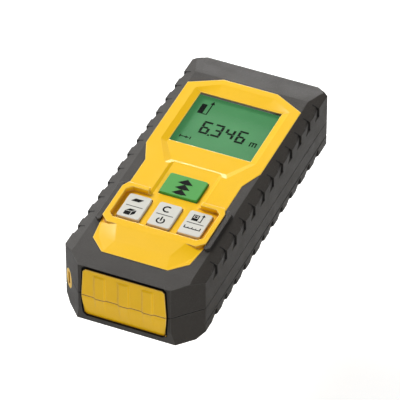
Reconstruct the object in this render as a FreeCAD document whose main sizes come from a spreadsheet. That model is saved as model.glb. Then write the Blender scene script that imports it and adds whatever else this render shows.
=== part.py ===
import FreeCAD, Part
import math
import os
from types import SimpleNamespace

import Sketcher
from FreeCAD import Placement, Rotation, Vector

# Handheld laser distance meter, in millimetres.
# +Z is up through the keys, +Y points the way the laser leaves, and +X is to the right of a
# reader who faces the display. The origin is under the middle of the meter, on the plane it lies on.

SIZES = {
    # outline and walls
    "body_length": 118.0,
    "body_width": 50.4,
    "parting_height": 12.4,
    "seam_gap": 0.3,
    "near_corner_width": 8.6,
    "near_corner_length": 9.2,
    "far_corner_width": 4.6,
    "far_corner_length": 2.8,
    "grip_wall": 2.2,
    "grip_cover": 2.3,
    "grip_underlap": 1.1,
    "base_rim": 5.0,
    "base_recess": 0.5,
    "shell_wall": 1.8,
    "roof_wall": 1.5,
    # slopes of the rubber
    "side_slope_width": 4.2,
    "side_slope_drop": 1.5,
    "far_slope_length": 10.0,
    "far_slope_drop": 1.2,
    "near_slope_length": 8.0,
    "near_slope_drop": 0.3,
    "base_bevel_width": 2.4,
    "base_bevel_height": 2.2,
    "near_draft": 1.2,
    "crease_height": 6.0,
    "crease_depth": 0.35,
    # tread pockets along the edges
    "tread_pitch": 8.0,
    "tread_from_far": 10.1,
    "tread_length": 4.0,
    "tread_drop": 5.1,
    "tread_heel_depth": 0.7,
    "tread_heel_width": 1.7,
    "tread_toe_depth": 0.12,
    "tread_toe_width": 0.7,
    "tread_slant": 0.5,
    # yellow face
    "face_proud": 0.1,
    "face_band": 4.2,
    "far_corner_band": 15.2,
    "face_from_far": 10.6,
    "shoulder_length": 5.9,
    "waist_from_display": 5.4,
    "waist_length": 8.3,
    "neck_band": 7.55,
    "chin_band": 7.8,
    "chin_corner_band": 13.3,
    "chin_from_near": 13.95,
    "chin_edge_from_near": 8.55,
    "pad_band": 6.55,
    "pad_rise": 1.2,
    "pad_rim": 1.75,
    "pad_far_reach": 10.0,
    "pad_near_reach": 11.3,
    "pad_corner": 2.6,
    "recess_depth": 0.6,
    "recess_near_rim": 3.0,
    "channel_half_width": 8.4,
    "channel_draft": 1.1,
    "hollow_depth": 0.8,
    "hollow_side": 0.2,
    "hollow_side_slope": 2.2,
    "hollow_far_slope": 5.5,
    "hollow_far_half": 8.5,
    "hollow_far_spread": 1.4,
    "hollow_shoulder": 0.7,
    "hollow_near_half": 10.0,
    "hollow_near_spread": 1.3,
    "hollow_near_reach": 9.3,
    "hollow_near_slope": 2.8,
    "hollow_waist": 1.3,
    "apron_half_width": 12.4,
    "apron_inset": 0.3,
    "ridge_half_width": 9.8,
    "ridge_from_near": 14.85,
    "ridge_rise": 0.4,
    "chin_edge_half_width": 11.6,
    "collar_width": 2.3,
    "collar_drop": 0.4,
    "collar_draft": 0.35,
    # ribbed near-end panel
    "panel_proud": 0.5,
    "panel_half_width": 15.2,
    "panel_taper": 0.6,
    "panel_corner": 0.9,
    "panel_frame": 0.6,
    "panel_frame_top": 0.9,
    "panel_frame_depth": 0.9,
    "panel_top_drop": 1.3,
    "panel_low": 3.2,
    "rib_proud": 0.45,
    "rib_width": 3.0,
    "rib_draft": 0.8,
    "rib_spacing": 8.6,
    "rib_top_drop": 1.2,
    "rib_low": 5.0,
    # keys
    "key_row_from_near": 33.15,
    "key_spacing": 11.0,
    "key_width": 8.1,
    "key_length": 12.0,
    "key_corner": 0.9,
    "key_edge": 0.25,
    "key_proud": 0.9,
    "key_travel": 0.6,
    "key_gap": 0.15,
    "flange_lap": 0.8,
    "flange_thickness": 0.8,
    "flange_gap": 0.1,
    "measure_from_row": 15.8,
    "measure_width": 13.8,
    "measure_length": 10.4,
    "plunger_side": 4.4,
    "dome_radius": 3.2,
    "dome_height": 0.6,
    "dome_sheet": 0.15,
    "mat_thickness": 3.0,
    "mat_hole": 8.0,
    "mat_margin": 2.2,
    # display
    "display_width": 30.0,
    "display_length": 27.4,
    "display_from_far": 18.9,
    "window_lap": 1.5,
    "window_thickness": 1.0,
    "window_gap": 0.2,
    "gasket_thickness": 0.3,
    "gasket_width": 1.1,
    "bezel_depth": 1.1,
    "glass_thickness": 1.8,
    "glass_lap": 0.9,
    "glass_gap": 0.3,
    "backlight_thickness": 1.5,
    "backlight_gap": 0.1,
    "frame_floor": 1.6,
    "frame_wall": 1.3,
    "zebra_width": 1.8,
    "fit_gap": 0.1,
    # cells and their bay
    "cell_diameter": 10.5,
    "cell_length": 44.5,
    "cell_nub_radius": 1.9,
    "cell_nub_length": 0.9,
    "cell_gap": 0.3,
    "cell_clearance": 0.9,
    "bay_from_near": 8.0,
    "tray_wall": 1.2,
    "contact_sheet": 0.3,
    "contact_width": 8.6,
    "tab_width": 2.4,
    "spring_length": 3.2,
    "spring_radius": 2.5,
    "spring_wire": 0.3,
    "spring_pitch": 0.85,
    "spring_segment": 0.25,
    # battery cover
    "cover_half_width": 14.8,
    "cover_gap": 0.2,
    "cover_from_bay": 2.15,
    "ledge_thickness": 0.8,
    "ledge_gap": 0.2,
    "foam_thickness": 0.7,
    "foam_end_gap": 3.0,
    "soft_gap": 0.3,
    "hinge_radius": 1.7,
    "hinge_gap": 0.3,
    "hinge_pin_radius": 1.0,
    "hinge_pin_gap": 0.05,
    "hinge_pin_length": 1.6,
    "catch_half_width": 4.0,
    "catch_thickness": 0.6,
    "catch_height": 2.7,
    "thumb_groove": 0.5,
    # boards
    "board_thickness": 1.2,
    "board_gap": 0.7,
    "board_half_width": 20.4,
    "board_neck_half_width": 14.4,
    "board_screw_radius": 0.8,
    "board_boss_radius": 2.0,
    "board_boss_from_side": 7.1,
    "board_screw_head": 1.6,
    "board_screw_rest": 1.5,
    # parts on the board
    "can_x": -7.0,
    "can_width": 16.0,
    "can_length": 17.0,
    "can_height": 2.6,
    "can_sheet": 0.3,
    "chip_height": 1.0,
    "processor_side": 7.0,
    "memory_side": 5.0,
    "timer_width": 4.0,
    "timer_length": 3.0,
    "driver_side": 4.0,
    "driver_x": 12.0,
    "inductor_width": 3.2,
    "inductor_length": 1.6,
    "inductor_height": 1.4,
    "buzzer_x": 10.0,
    "buzzer_radius": 4.5,
    "buzzer_height": 3.0,
    "buzzer_hole": 0.8,
    # casing screws
    "screw_radius": 1.1,
    "screw_gap": 0.2,
    "screw_head_radius": 1.9,
    "screw_head_height": 1.3,
    "screw_boss_radius": 2.6,
    "screw_near_x": 17.7,
    "screw_far_x": 17.4,
    "screw_near_inset": 15.0,
    "screw_far_inset": 8.6,
    "screw_drive_length": 1.54,
    "screw_drive_width": 0.5,
    "screw_drive_depth": 0.6,
    # optics
    "optic_gap": 0.3,
    "carrier_wall": 0.8,
    "carrier_length": 19.8,
    "lens_radius": 5.4,
    "lens_thickness": 2.6,
    "lens_dome_radius": 12.0,
    "lens_seat": 0.4,
    "receiver_x": -6.4,
    "lens_tunnel": 2.4,
    "laser_x": 8.6,
    "barrel_radius": 3.4,
    "barrel_bore": 2.3,
    "barrel_length": 17.0,
    "collimator_inset": 1.2,
    "collimator_length": 2.0,
    "diode_flange_radius": 2.8,
    "diode_flange": 1.2,
    "diode_length": 2.2,
    "diode_pin_radius": 0.22,
    "diode_pin_length": 2.0,
    "diode_pin_circle": 0.9,
    "photodiode_radius": 2.2,
    "photodiode_base": 0.6,
    "photodiode_cap_radius": 1.7,
    "photodiode_cap": 1.6,
    "flex_half_width": 1.6,
    "flex_thickness": 0.2,
    "flex_below_axis": 1.4,
    "bezel_half_width": 15.6,
    "bezel_low": 3.0,
    "bezel_high": 14.6,
    "bezel_inset": 0.4,
    "receiver_hole": 4.9,
    "laser_hole": 2.0,
    "glass_rim": 0.6,
    "pane_thickness": 1.0,
    "pane_inset": 0.3,
    # eyelet on the near left corner
    "eyelet_along": 9.3,
    "eyelet_height": 10.8,
    "eyelet_long_radius": 4.0,
    "eyelet_short_radius": 2.6,
    "eyelet_slot_length": 5.2,
    "eyelet_slot_width": 1.5,
    "eyelet_bar_radius": 0.5,
    # seal and label
    "seal_inset": 0.45,
    "seal_width": 0.9,
    "seal_depth": 0.8,
    "label_half_width": 13.0,
    "label_length": 24.0,
    "label_from_far": 15.0,
    "label_thickness": 0.15,
}

DOC = FreeCAD.newDocument("DistanceMeter")
SHEET = DOC.addObject("Spreadsheet::Sheet", "Sizes")


class Length:
    """A length that carries both its value and the sheet formula that gives it."""

    def __init__(self, value, formula):
        self.value = value
        self.formula = formula

    def __add__(self, other):
        other = as_length(other)
        return Length(self.value + other.value, f"({self.formula} + {other.formula})")

    def __mul__(self, factor):
        factor = as_length(factor)
        return Length(self.value * factor.value, f"({self.formula} * {factor.formula})")

    def __truediv__(self, divisor):
        divisor = as_length(divisor)
        return Length(self.value / divisor.value, f"({self.formula} / {divisor.formula})")

    def __neg__(self):
        return Length(-self.value, f"(-1 * {self.formula})")

    def __sub__(self, other):
        return self + -as_length(other)

    def __rsub__(self, other):
        return as_length(other) + -self

    __radd__ = __add__
    __rmul__ = __mul__


def as_length(thing):
    return thing if isinstance(thing, Length) else Length(float(thing), f"({float(thing)!r})")


def root(square):
    return Length(math.sqrt(square.value), f"sqrt({square.formula})")


def larger(one, other):
    return Length(max(one.value, other.value), f"max({one.formula}; {other.formula})")


def whole(number):
    return Length(math.floor(number.value), f"floor({number.formula})")


def fill_sheet():
    """Write every driving size to the sheet and return them as lengths."""
    lengths = {}
    for row, (alias, number) in enumerate(SIZES.items(), start=1):
        SHEET.set(f"A{row}", alias.replace("_", " "))
        SHEET.set(f"B{row}", str(number))
        SHEET.setAlias(f"B{row}", alias)
        lengths[alias] = Length(number, f"Sizes.{alias}")
    DOC.recompute()
    return SimpleNamespace(**lengths)


size = fill_sheet()

# ---------------------------------------------------------------------------------------------
# Places worked out from the sizes
# ---------------------------------------------------------------------------------------------

half_width = size.body_width / 2
far_face = size.body_length / 2
panel_face = size.rib_proud - far_face
near_face = panel_face + size.panel_proud
upper_rim = size.parting_height + size.seam_gap / 2
lower_rim = size.parting_height - size.seam_gap / 2
casing_inset = size.grip_wall + size.shell_wall

# heights, from the plane the meter lies on upwards
floor_low = size.base_recess
floor_top = floor_low + size.shell_wall
foam_top = floor_top + size.foam_thickness
cell_low = foam_top + size.soft_gap
cell_axis = cell_low + size.cell_diameter / 2
tray_ceiling = cell_low + size.cell_diameter + size.cell_gap
tray_top = tray_ceiling + size.tray_wall
optic_low = floor_top + size.optic_gap
optic_axis = optic_low + size.carrier_wall + size.lens_radius
optic_top = optic_axis + size.lens_radius + size.carrier_wall
board_low = larger(tray_top, optic_top) + size.board_gap
board_top = board_low + size.board_thickness
dome_top = board_top + size.dome_height
backlight_low = board_top + size.frame_floor + size.backlight_gap
backlight_top = backlight_low + size.backlight_thickness
glass_low = backlight_top + size.backlight_gap
glass_top = glass_low + size.glass_thickness
window_low = glass_top + size.glass_gap
window_top = window_low + size.window_thickness
gasket_top = window_top + size.gasket_thickness
face_height = gasket_top + size.bezel_depth
pad_height = face_height + size.pad_rise
recess_floor = face_height - size.recess_depth
hollow_floor = face_height - size.hollow_depth
face_low = recess_floor - size.roof_wall
grip_top = face_height - size.face_proud
shell_top = grip_top - size.grip_cover
roof_low = shell_top - size.shell_wall
panel_top = grip_top - size.panel_top_drop

# places along the length
display_far = far_face - size.display_from_far
display_near = display_far - size.display_length
waist_top = display_near - size.waist_from_display
waist_low = waist_top - size.waist_length
key_row = near_face + size.key_row_from_near
measure_row = key_row + size.measure_from_row
pad_far = key_row + size.pad_far_reach
pad_near = key_row - size.pad_near_reach
ridge_y = near_face + size.ridge_from_near
chin_near = near_face + size.chin_edge_from_near
bay_near = near_face + size.bay_from_near
bay_far = bay_near + size.contact_sheet * 2 + size.cell_gap + size.cell_length + size.spring_length
cell_spacing = size.cell_diameter + size.cell_clearance
bay_half = cell_spacing / 2 + size.cell_diameter / 2 + size.cell_gap
hinge_y = bay_far + size.tray_wall + size.hinge_radius + size.hinge_gap
hinge_z = floor_low + size.hinge_radius
cover_near = bay_near - size.cover_from_bay
bezel_front = far_face - size.bezel_inset
bezel_back = far_face - casing_inset
carrier_front = bezel_back - size.fit_gap
carrier_back = carrier_front - size.carrier_length
board_boss_x = half_width - size.board_boss_from_side
receiver = (size.receiver_x, optic_axis)
laser = (size.laser_x, optic_axis)

# ---------------------------------------------------------------------------------------------
# Drawing helpers
# ---------------------------------------------------------------------------------------------

PARTS = []
CUTS = []
TURNS = {
    "x": Rotation(Vector(0, 1, 0), 90),
    "y": Rotation(Vector(1, 0, 0), -90),
    "z": Rotation(),
}


def bind(thing, field, length):
    thing.setExpression(field, as_length(length).formula)


def sub_part(node, thing):
    """Name a finished piece; the label is also the name of its file."""
    thing.Label = node
    PARTS.append(thing)
    return thing


def block(x, y, z):
    """A box between a low and a high place along each axis."""
    made = DOC.addObject("Part::Box", "Block")
    for field, place, (low, high) in zip(("Length", "Width", "Height"), "xyz", (x, y, z)):
        bind(made, field, as_length(high) - low)
        bind(made, f"Placement.Base.{place}", low)
    return made


def place_round(made, axis, centre, low):
    """Stand a round primitive on an axis, through a centre given in the other two axes."""
    made.Placement = Placement(Vector(), TURNS[axis])
    places = dict(zip("xyz".replace(axis, ""), centre))
    places[axis] = low
    for letter, place in places.items():
        bind(made, f"Placement.Base.{letter}", place)
    return made


def rod(axis, centre, radius, low, high):
    made = DOC.addObject("Part::Cylinder", "Rod")
    bind(made, "Radius", radius)
    bind(made, "Height", as_length(high) - low)
    return place_round(made, axis, centre, low)


def cone(axis, centre, low_radius, high_radius, low, high):
    made = DOC.addObject("Part::Cone", "Cone")
    bind(made, "Radius1", low_radius)
    bind(made, "Radius2", high_radius)
    bind(made, "Height", as_length(high) - low)
    return place_round(made, axis, centre, low)


def fuse(*things):
    made = DOC.addObject("Part::MultiFuse", "Fuse")
    made.Shapes = list(things)
    return made


def cut(base, *tools):
    made = DOC.addObject("Part::Cut", "Cut")
    made.Base = base
    made.Tool = tools[0] if len(tools) == 1 else fuse(*tools)
    return made


def group(*things):
    """Several solids of one kind that share a node."""
    made = DOC.addObject("Part::Compound", "Group")
    made.Links = list(things)
    return made


def tube(axis, centre, radius, bore, low, high):
    return cut(rod(axis, centre, radius, low, high), rod(axis, centre, bore, low - 1, high + 1))


def new_body():
    return DOC.addObject("PartDesign::Body", "Body")


def origin_feature(body, role):
    return next(feature for feature in body.Origin.OriginFeatures if feature.Role == role)


def draw(sketch, corners):
    """Add one closed outline whose corners are all held by the sheet."""
    corners = [(as_length(x), as_length(y)) for x, y in corners]
    first = sketch.GeometryCount
    count = len(corners)
    for index, (x, y) in enumerate(corners):
        next_x, next_y = corners[(index + 1) % count]
        start = Vector(x.value, y.value, 0)
        sketch.addGeometry(Part.LineSegment(start, Vector(next_x.value, next_y.value, 0)), False)
    for index in range(count):
        following = first + (index + 1) % count
        sketch.addConstraint(Sketcher.Constraint("Coincident", first + index, 2, following, 1))
    for index, corner in enumerate(corners):
        for kind, place in zip(("DistanceX", "DistanceY"), corner):
            rule = Sketcher.Constraint(kind, -1, 1, first + index, 1, place.value)
            bind(sketch, f"Constraints[{sketch.addConstraint(rule)}]", place)


def new_sketch(body, plane, level, outlines):
    sketch = body.newObject("Sketcher::SketchObject", "Sketch")
    sketch.AttachmentSupport = [(origin_feature(body, plane), "")]
    sketch.MapMode = "FlatFace"
    bind(sketch, "AttachmentOffset.Base.z", level)
    for corners in outlines:
        draw(sketch, corners)
    return sketch


def add(body, plane, low, high, *outlines):
    """Pad outlines between two levels. The XZ plane faces -Y, so it starts from its high level."""
    low = as_length(low)
    high = as_length(high)
    level = -high if plane == "XZ_Plane" else low
    pad = body.newObject("PartDesign::Pad", "Pad")
    pad.Profile = new_sketch(body, plane, level, outlines)
    bind(pad, "Length", high - low)
    return pad


def remove(body, plane, low, high, *outlines):
    """Pocket outlines between two levels."""
    low = as_length(low)
    high = as_length(high)
    level = -low if plane == "XZ_Plane" else high
    pocket = body.newObject("PartDesign::Pocket", "Pocket")
    pocket.Profile = new_sketch(body, plane, level, outlines)
    bind(pocket, "Length", high - low)
    CUTS.append(pocket)
    return pocket


def slope(kind, body, plane, first, first_outline, second, second_outline):
    """Straight walls between two outlines, added to a body or taken from it."""
    made = body.newObject(f"PartDesign::{kind}Loft", "Slope")
    made.Profile = new_sketch(body, plane, first, [first_outline])
    made.Sections = [new_sketch(body, plane, second, [second_outline])]
    made.Ruled = True
    body.Tip = made
    DOC.recompute()
    return made


def round_edges(body, radius, chosen):
    """Fillet the edges of a body that pass a test."""
    DOC.recompute()
    base = body.Tip
    edges = enumerate(base.Shape.Edges, start=1)
    names = [f"Edge{index}" for index, edge in edges if chosen(edge)]
    fillet = body.newObject("PartDesign::Fillet", "Fillet")
    fillet.Base = (base, names)
    bind(fillet, "Radius", radius)
    return fillet


def upright(edge):
    start, end = edge.Vertexes[0].Point, edge.Vertexes[-1].Point
    return math.hypot(end.x - start.x, end.y - start.y) < 1e-6 < abs(end.z - start.z)


def at_height(height):
    return lambda edge: all(abs(vertex.Z - height.value) < 1e-6 for vertex in edge.Vertexes)


def rectangle(x, y):
    """Corners of a rectangle between two low and high pairs."""
    return [(x[0], y[0]), (x[1], y[0]), (x[1], y[1]), (x[0], y[1])]


def centred(half, y):
    return rectangle((-as_length(half), half), y)


def flipped(corners):
    return [(-as_length(x), y) for x, y in reversed(corners)]


def whole_of(corners):
    """A closed outline from its right half, listed from the near end to the far end."""
    return corners + flipped(corners)


def both_sides(corners):
    return [corners, flipped(corners)]


def plan(inset):
    """The meter's outline from above, moved in by an inset."""
    inset = as_length(inset)
    wide, long = size.near_corner_width, size.near_corner_length
    slant = root(wide * wide + long * long)
    far_wide, far_long = size.far_corner_width, size.far_corner_length
    far_slant = root(far_wide * far_wide + far_long * far_long)
    near_x = half_width - wide - inset * (slant - wide) / long
    near_y = near_face + long + inset * (slant - long) / wide
    far_y = far_face - far_long - inset * (far_slant - far_long) / far_wide
    far_x = half_width - far_wide - inset * (far_slant - far_wide) / far_long
    return whole_of([
        (near_x, near_face + inset),
        (half_width - inset, near_y),
        (half_width - inset, far_y),
        (far_x, far_face - inset),
    ])


def face_outline(inset):
    """The yellow face from above, with its waist, neck, pad sides and chin."""
    near = near_face + inset
    far = far_face - size.face_from_far
    return whole_of([
        (half_width - size.chin_corner_band - inset / 2, near + size.chin_edge_from_near),
        (half_width - size.chin_band - inset, near + size.chin_from_near),
        (half_width - size.pad_band - inset, pad_near + size.pad_corner),
        (half_width - size.pad_band - inset, pad_far - size.pad_corner),
        (half_width - size.neck_band - inset, pad_far),
        (half_width - size.neck_band - inset, waist_low),
        (half_width - size.face_band - inset, waist_top),
        (half_width - size.face_band - inset, far - size.shoulder_length - inset / 2),
        (half_width - size.far_corner_band - inset / 2, far - inset),
    ])


def tread_places():
    """How many tread pockets fit between the two corners of a side."""
    run = size.body_length - size.tread_from_far - size.near_corner_length
    return whole((run - size.tread_length) / size.tread_pitch) + 1


def tread(body, heel, toe):
    """A row of wedge pockets down both sides: deep at the heel, shallow at the toe."""
    start = far_face - size.tread_from_far
    wedges = []
    for heel_outline, toe_outline in zip(both_sides(heel), both_sides(toe)):
        wedges.append(slope("Subtractive", body, "XZ_Plane", -start, heel_outline,
                            size.tread_length - start, toe_outline))
    row = body.newObject("PartDesign::LinearPattern", "TreadRow")
    row.Originals = wedges
    row.Direction = (origin_feature(body, "Y_Axis"), [""])
    row.Reversed = True
    row.Mode = "Spacing"
    bind(row, "Offset", size.tread_pitch)
    bind(row, "Occurrences", tread_places())
    body.Tip = row
    DOC.recompute()


# ---------------------------------------------------------------------------------------------
# Lanyard eyelet on the near left corner
# ---------------------------------------------------------------------------------------------

def corner_place(along, height, depth):
    """A place on the near left corner face: its z axis points out of it, its x axis up."""
    wide, long = size.near_corner_width.value, size.near_corner_length.value
    slant = math.hypot(wide, long)
    outward = Vector(-long / slant, -wide / slant, 0)
    start = Vector((size.near_corner_width - half_width).value, near_face.value, 0)
    run = Vector(-wide / slant, long / slant, 0)
    base = start + run * along.value + Vector(0, 0, height.value) - outward * depth
    up = Vector(0, 0, 1)
    turn = Rotation(up, outward.cross(up), outward, "ZXY")
    return Placement(base, turn)


def corner_feature(shape, depth):
    made = DOC.addObject("Part::Feature", "Eyelet")
    made.Shape = shape
    made.Placement = corner_place(size.eyelet_along, size.eyelet_height, depth)
    return made


def eyelet_oval(depth, low):
    rim = Part.Ellipse(Vector(), size.eyelet_long_radius.value, size.eyelet_short_radius.value)
    face = Part.Face(Part.Wire(rim.toShape()))
    return corner_feature(face.extrude(Vector(0, 0, depth)), low)


def eyelet_slot():
    long, wide = size.eyelet_slot_length.value, size.eyelet_slot_width.value
    deep = casing_inset.value + 2
    return corner_feature(Part.makeBox(long, wide, deep, Vector(-long / 2, -wide / 2, 0)), deep - 1)


def eyelet_bar():
    wide = size.eyelet_slot_width.value + 1.6
    radius = size.eyelet_bar_radius.value
    bar = Part.makeCylinder(radius, wide, Vector(0, -wide / 2, 0), Vector(0, 1, 0))
    return corner_feature(bar, size.grip_wall.value / 2)


def lanyard_eyelet():
    plug = eyelet_oval(size.grip_wall.value, size.grip_wall.value)
    sub_part("lanyard_eyelet", cut(plug, eyelet_slot(), eyelet_bar()))
    sub_part("lanyard_bar", eyelet_bar())


def eyelet_hole():
    return eyelet_oval(size.grip_wall.value + 1, size.grip_wall.value)


# ---------------------------------------------------------------------------------------------
# Casings and grips
# ---------------------------------------------------------------------------------------------

def panel_outline(low, high, taper_at, margin=0):
    """The near-end panel's outline on the XZ plane, narrower at one end than at the parting."""
    wide = size.panel_half_width + margin
    narrow = wide - size.panel_taper
    corner = size.panel_corner
    if taper_at == "top":
        return whole_of([(wide, low), (narrow, high - corner), (narrow - corner, high)])
    return whole_of([(narrow, low), (wide, high)])


def bezel_hole():
    front = far_face + 1
    side = (-size.bezel_half_width, size.bezel_half_width)
    return block(side, (bezel_back - 1, front), (size.bezel_low, size.bezel_high))


def screw_spots():
    near = near_face + size.screw_near_inset
    far = far_face - size.screw_far_inset
    return [
        (size.screw_near_x, near),
        (-size.screw_near_x, near),
        (size.screw_far_x, far),
        (-size.screw_far_x, far),
    ]


def board_spots():
    near = pad_near - size.board_boss_radius / 2
    far = display_far + size.window_lap + size.frame_wall + size.board_boss_radius
    middle = waist_top - size.board_boss_radius * 2
    return [(side * board_boss_x, y) for y in (near, middle, far) for side in (1, -1)]


def collar_outline(inset):
    """The rubber collar on the right of the pad, from above; its outer sides move in by an inset."""
    inner = half_width - size.pad_band
    outer = inner + size.collar_width - inset
    bevel = size.collar_width / 2
    near = pad_near + inset
    far = pad_far - inset
    return [
        (inner, near + bevel / 2),
        (inner + bevel / 2, near),
        (outer - bevel, near),
        (outer, near + bevel),
        (outer, far - bevel),
        (outer - bevel, far),
        (inner, far),
    ]


def upper_grip():
    grip = new_body()
    slope_x = half_width - size.side_slope_width
    slope_far = far_face - size.far_slope_length
    slope_near = near_face + size.near_slope_length
    add(grip, "XY_Plane", upper_rim, grip_top, plan(0))
    remove(grip, "XZ_Plane", -far_face, far_face, *both_sides([
        (slope_x, grip_top),
        (half_width, grip_top - size.side_slope_drop),
        (half_width, grip_top),
    ]))
    remove(grip, "YZ_Plane", -half_width, half_width, [
        (slope_far, grip_top),
        (far_face, grip_top - size.far_slope_drop),
        (far_face, grip_top),
    ], [
        (slope_near, grip_top),
        (near_face, grip_top),
        (near_face, grip_top - size.near_slope_drop),
    ])
    remove(grip, "XY_Plane", upper_rim, shell_top, plan(size.grip_wall))
    remove(grip, "XY_Plane", shell_top, grip_top, face_outline(0))
    remove(grip, "XZ_Plane", near_face, near_face + size.grip_wall,
           panel_outline(upper_rim, panel_top, "top"))
    remove(grip, "XZ_Plane", near_face, near_face + size.panel_frame_depth,
           panel_outline(upper_rim, panel_top + size.panel_frame_top, "top", size.panel_frame))
    tread_low = grip_top - size.tread_drop
    high = grip_top + 1
    outside = half_width + 1
    tread(grip, [
        (half_width - size.tread_heel_width, high),
        (half_width - size.tread_heel_width, grip_top - size.tread_slant),
        (half_width - size.tread_heel_depth, grip_top - size.tread_slant * 4),
        (half_width - size.tread_heel_depth, tread_low + size.tread_slant),
        (half_width, tread_low),
        (outside, tread_low),
        (outside, high),
    ], [
        (half_width - size.tread_toe_width, high),
        (half_width - size.tread_toe_width, grip_top - size.tread_slant * 2),
        (half_width - size.tread_toe_depth, grip_top - size.tread_slant * 4),
        (half_width - size.tread_toe_depth, tread_low + size.tread_slant),
        (half_width, tread_low),
        (outside, tread_low),
        (outside, high),
    ])
    collar_foot = both_sides(collar_outline(0))
    collar_top = both_sides(collar_outline(size.collar_draft))
    for foot, top in zip(collar_foot, collar_top):
        slope("Additive", grip, "XY_Plane", shell_top, foot, pad_height - size.collar_drop, top)
    sub_part("upper_grip", cut(grip, bezel_hole(), eyelet_hole()))


def recess_outline():
    """The T-shaped floor that the four keys stand in."""
    rim = half_width - size.pad_band - size.pad_rim
    far = pad_far - size.pad_rim
    near = pad_near + size.recess_near_rim
    corner = size.pad_corner - size.pad_rim / 2
    return whole_of([
        (rim - corner, near),
        (rim, near + corner),
        (rim, far - corner),
        (rim - corner, far),
    ])


def channel_outline(spread):
    """The channel round the measuring button, from the keys' floor to the display hollow."""
    half = size.channel_half_width + spread
    start = pad_far - size.pad_rim - size.fit_gap
    return centred(half, (start, display_near - size.hollow_near_reach))


def hollow_outline(brink):
    """The display hollow from above: its floor where brink is 0 and its brink where it is 1."""
    side = size.display_width / 2 + size.hollow_side
    far = display_far + size.hollow_side
    near = display_near - size.hollow_near_reach
    return whole_of([
        (size.hollow_near_half + size.hollow_near_spread * brink, near - size.hollow_near_slope * brink),
        (side + size.hollow_side_slope * brink, display_near - size.hollow_waist),
        (side + size.hollow_side_slope * brink, far + size.hollow_shoulder * brink),
        (size.hollow_far_half + size.hollow_far_spread * brink, far + size.hollow_far_slope * brink),
    ])


def roof_section(foot_half, top_half, top):
    return [
        (-as_length(foot_half), shell_top),
        (foot_half, shell_top),
        (foot_half, grip_top),
        (top_half, top),
        (-as_length(top_half), top),
        (-as_length(foot_half), grip_top),
    ]


def chin(casing):
    """The near end of the face: an apron falls from the pad to a ridge, and facets fall on from it."""
    inset = size.apron_inset
    pad_section = roof_section(half_width - size.pad_band - inset, size.apron_half_width, pad_height)
    ridge_section = roof_section(half_width - size.chin_band - inset, size.ridge_half_width,
                                 face_height + size.ridge_rise)
    edge_section = roof_section(half_width - size.chin_corner_band, size.chin_edge_half_width, face_height)
    slope("Additive", casing, "XZ_Plane", -pad_near, pad_section, -ridge_y, ridge_section)
    slope("Additive", casing, "XZ_Plane", -ridge_y, ridge_section, -chin_near, edge_section)


def pad_outline():
    side = half_width - size.pad_band
    return whole_of([
        (side - size.pad_corner, pad_near),
        (side, pad_near + size.pad_corner),
        (side, pad_far - size.pad_corner),
        (side - size.pad_corner / 2, pad_far),
    ])


def rib_section(middle, surface, face):
    """A rib from above: its sides slope from the panel's surface out to its face."""
    top = size.rib_width / 2
    foot = top + size.rib_draft
    behind = near_face + size.grip_wall
    return [
        (middle - foot, surface),
        (middle - top, face),
        (middle + top, face),
        (middle + foot, surface),
        (middle + foot, behind),
        (middle - foot, behind),
    ]


def ribs(body, low, high, end, end_surface, at_top):
    """Three raised ribs on the near-end panel; at one end they run out into its surface."""
    flat = end_surface - size.fit_gap / 10
    for place in (-1, 0, 1):
        middle = place * size.rib_spacing
        full = rib_section(middle, panel_face, -far_face)
        faded = rib_section(middle, end_surface, flat)
        if at_top:
            add(body, "XY_Plane", low, high, full)
            slope("Additive", body, "XY_Plane", high, full, end, faded)
        else:
            slope("Additive", body, "XY_Plane", end, faded, high, full)


def key_spots():
    """Each key: its name, centre, width and length."""
    return [
        ("measure_button", as_length(0), measure_row, size.measure_width, size.measure_length),
        ("area_volume_key", -size.key_spacing, key_row, size.key_width, size.key_length),
        ("clear_power_key", as_length(0), key_row, size.key_width, size.key_length),
        ("reference_units_key", size.key_spacing, key_row, size.key_width, size.key_length),
    ]


def around(x, y, wide, long, margin):
    """A rectangle about a centre, larger than a width and a length by a margin all round."""
    across = wide / 2 + margin
    along = long / 2 + margin
    return rectangle((x - across, x + across), (y - along, y + along))


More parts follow.
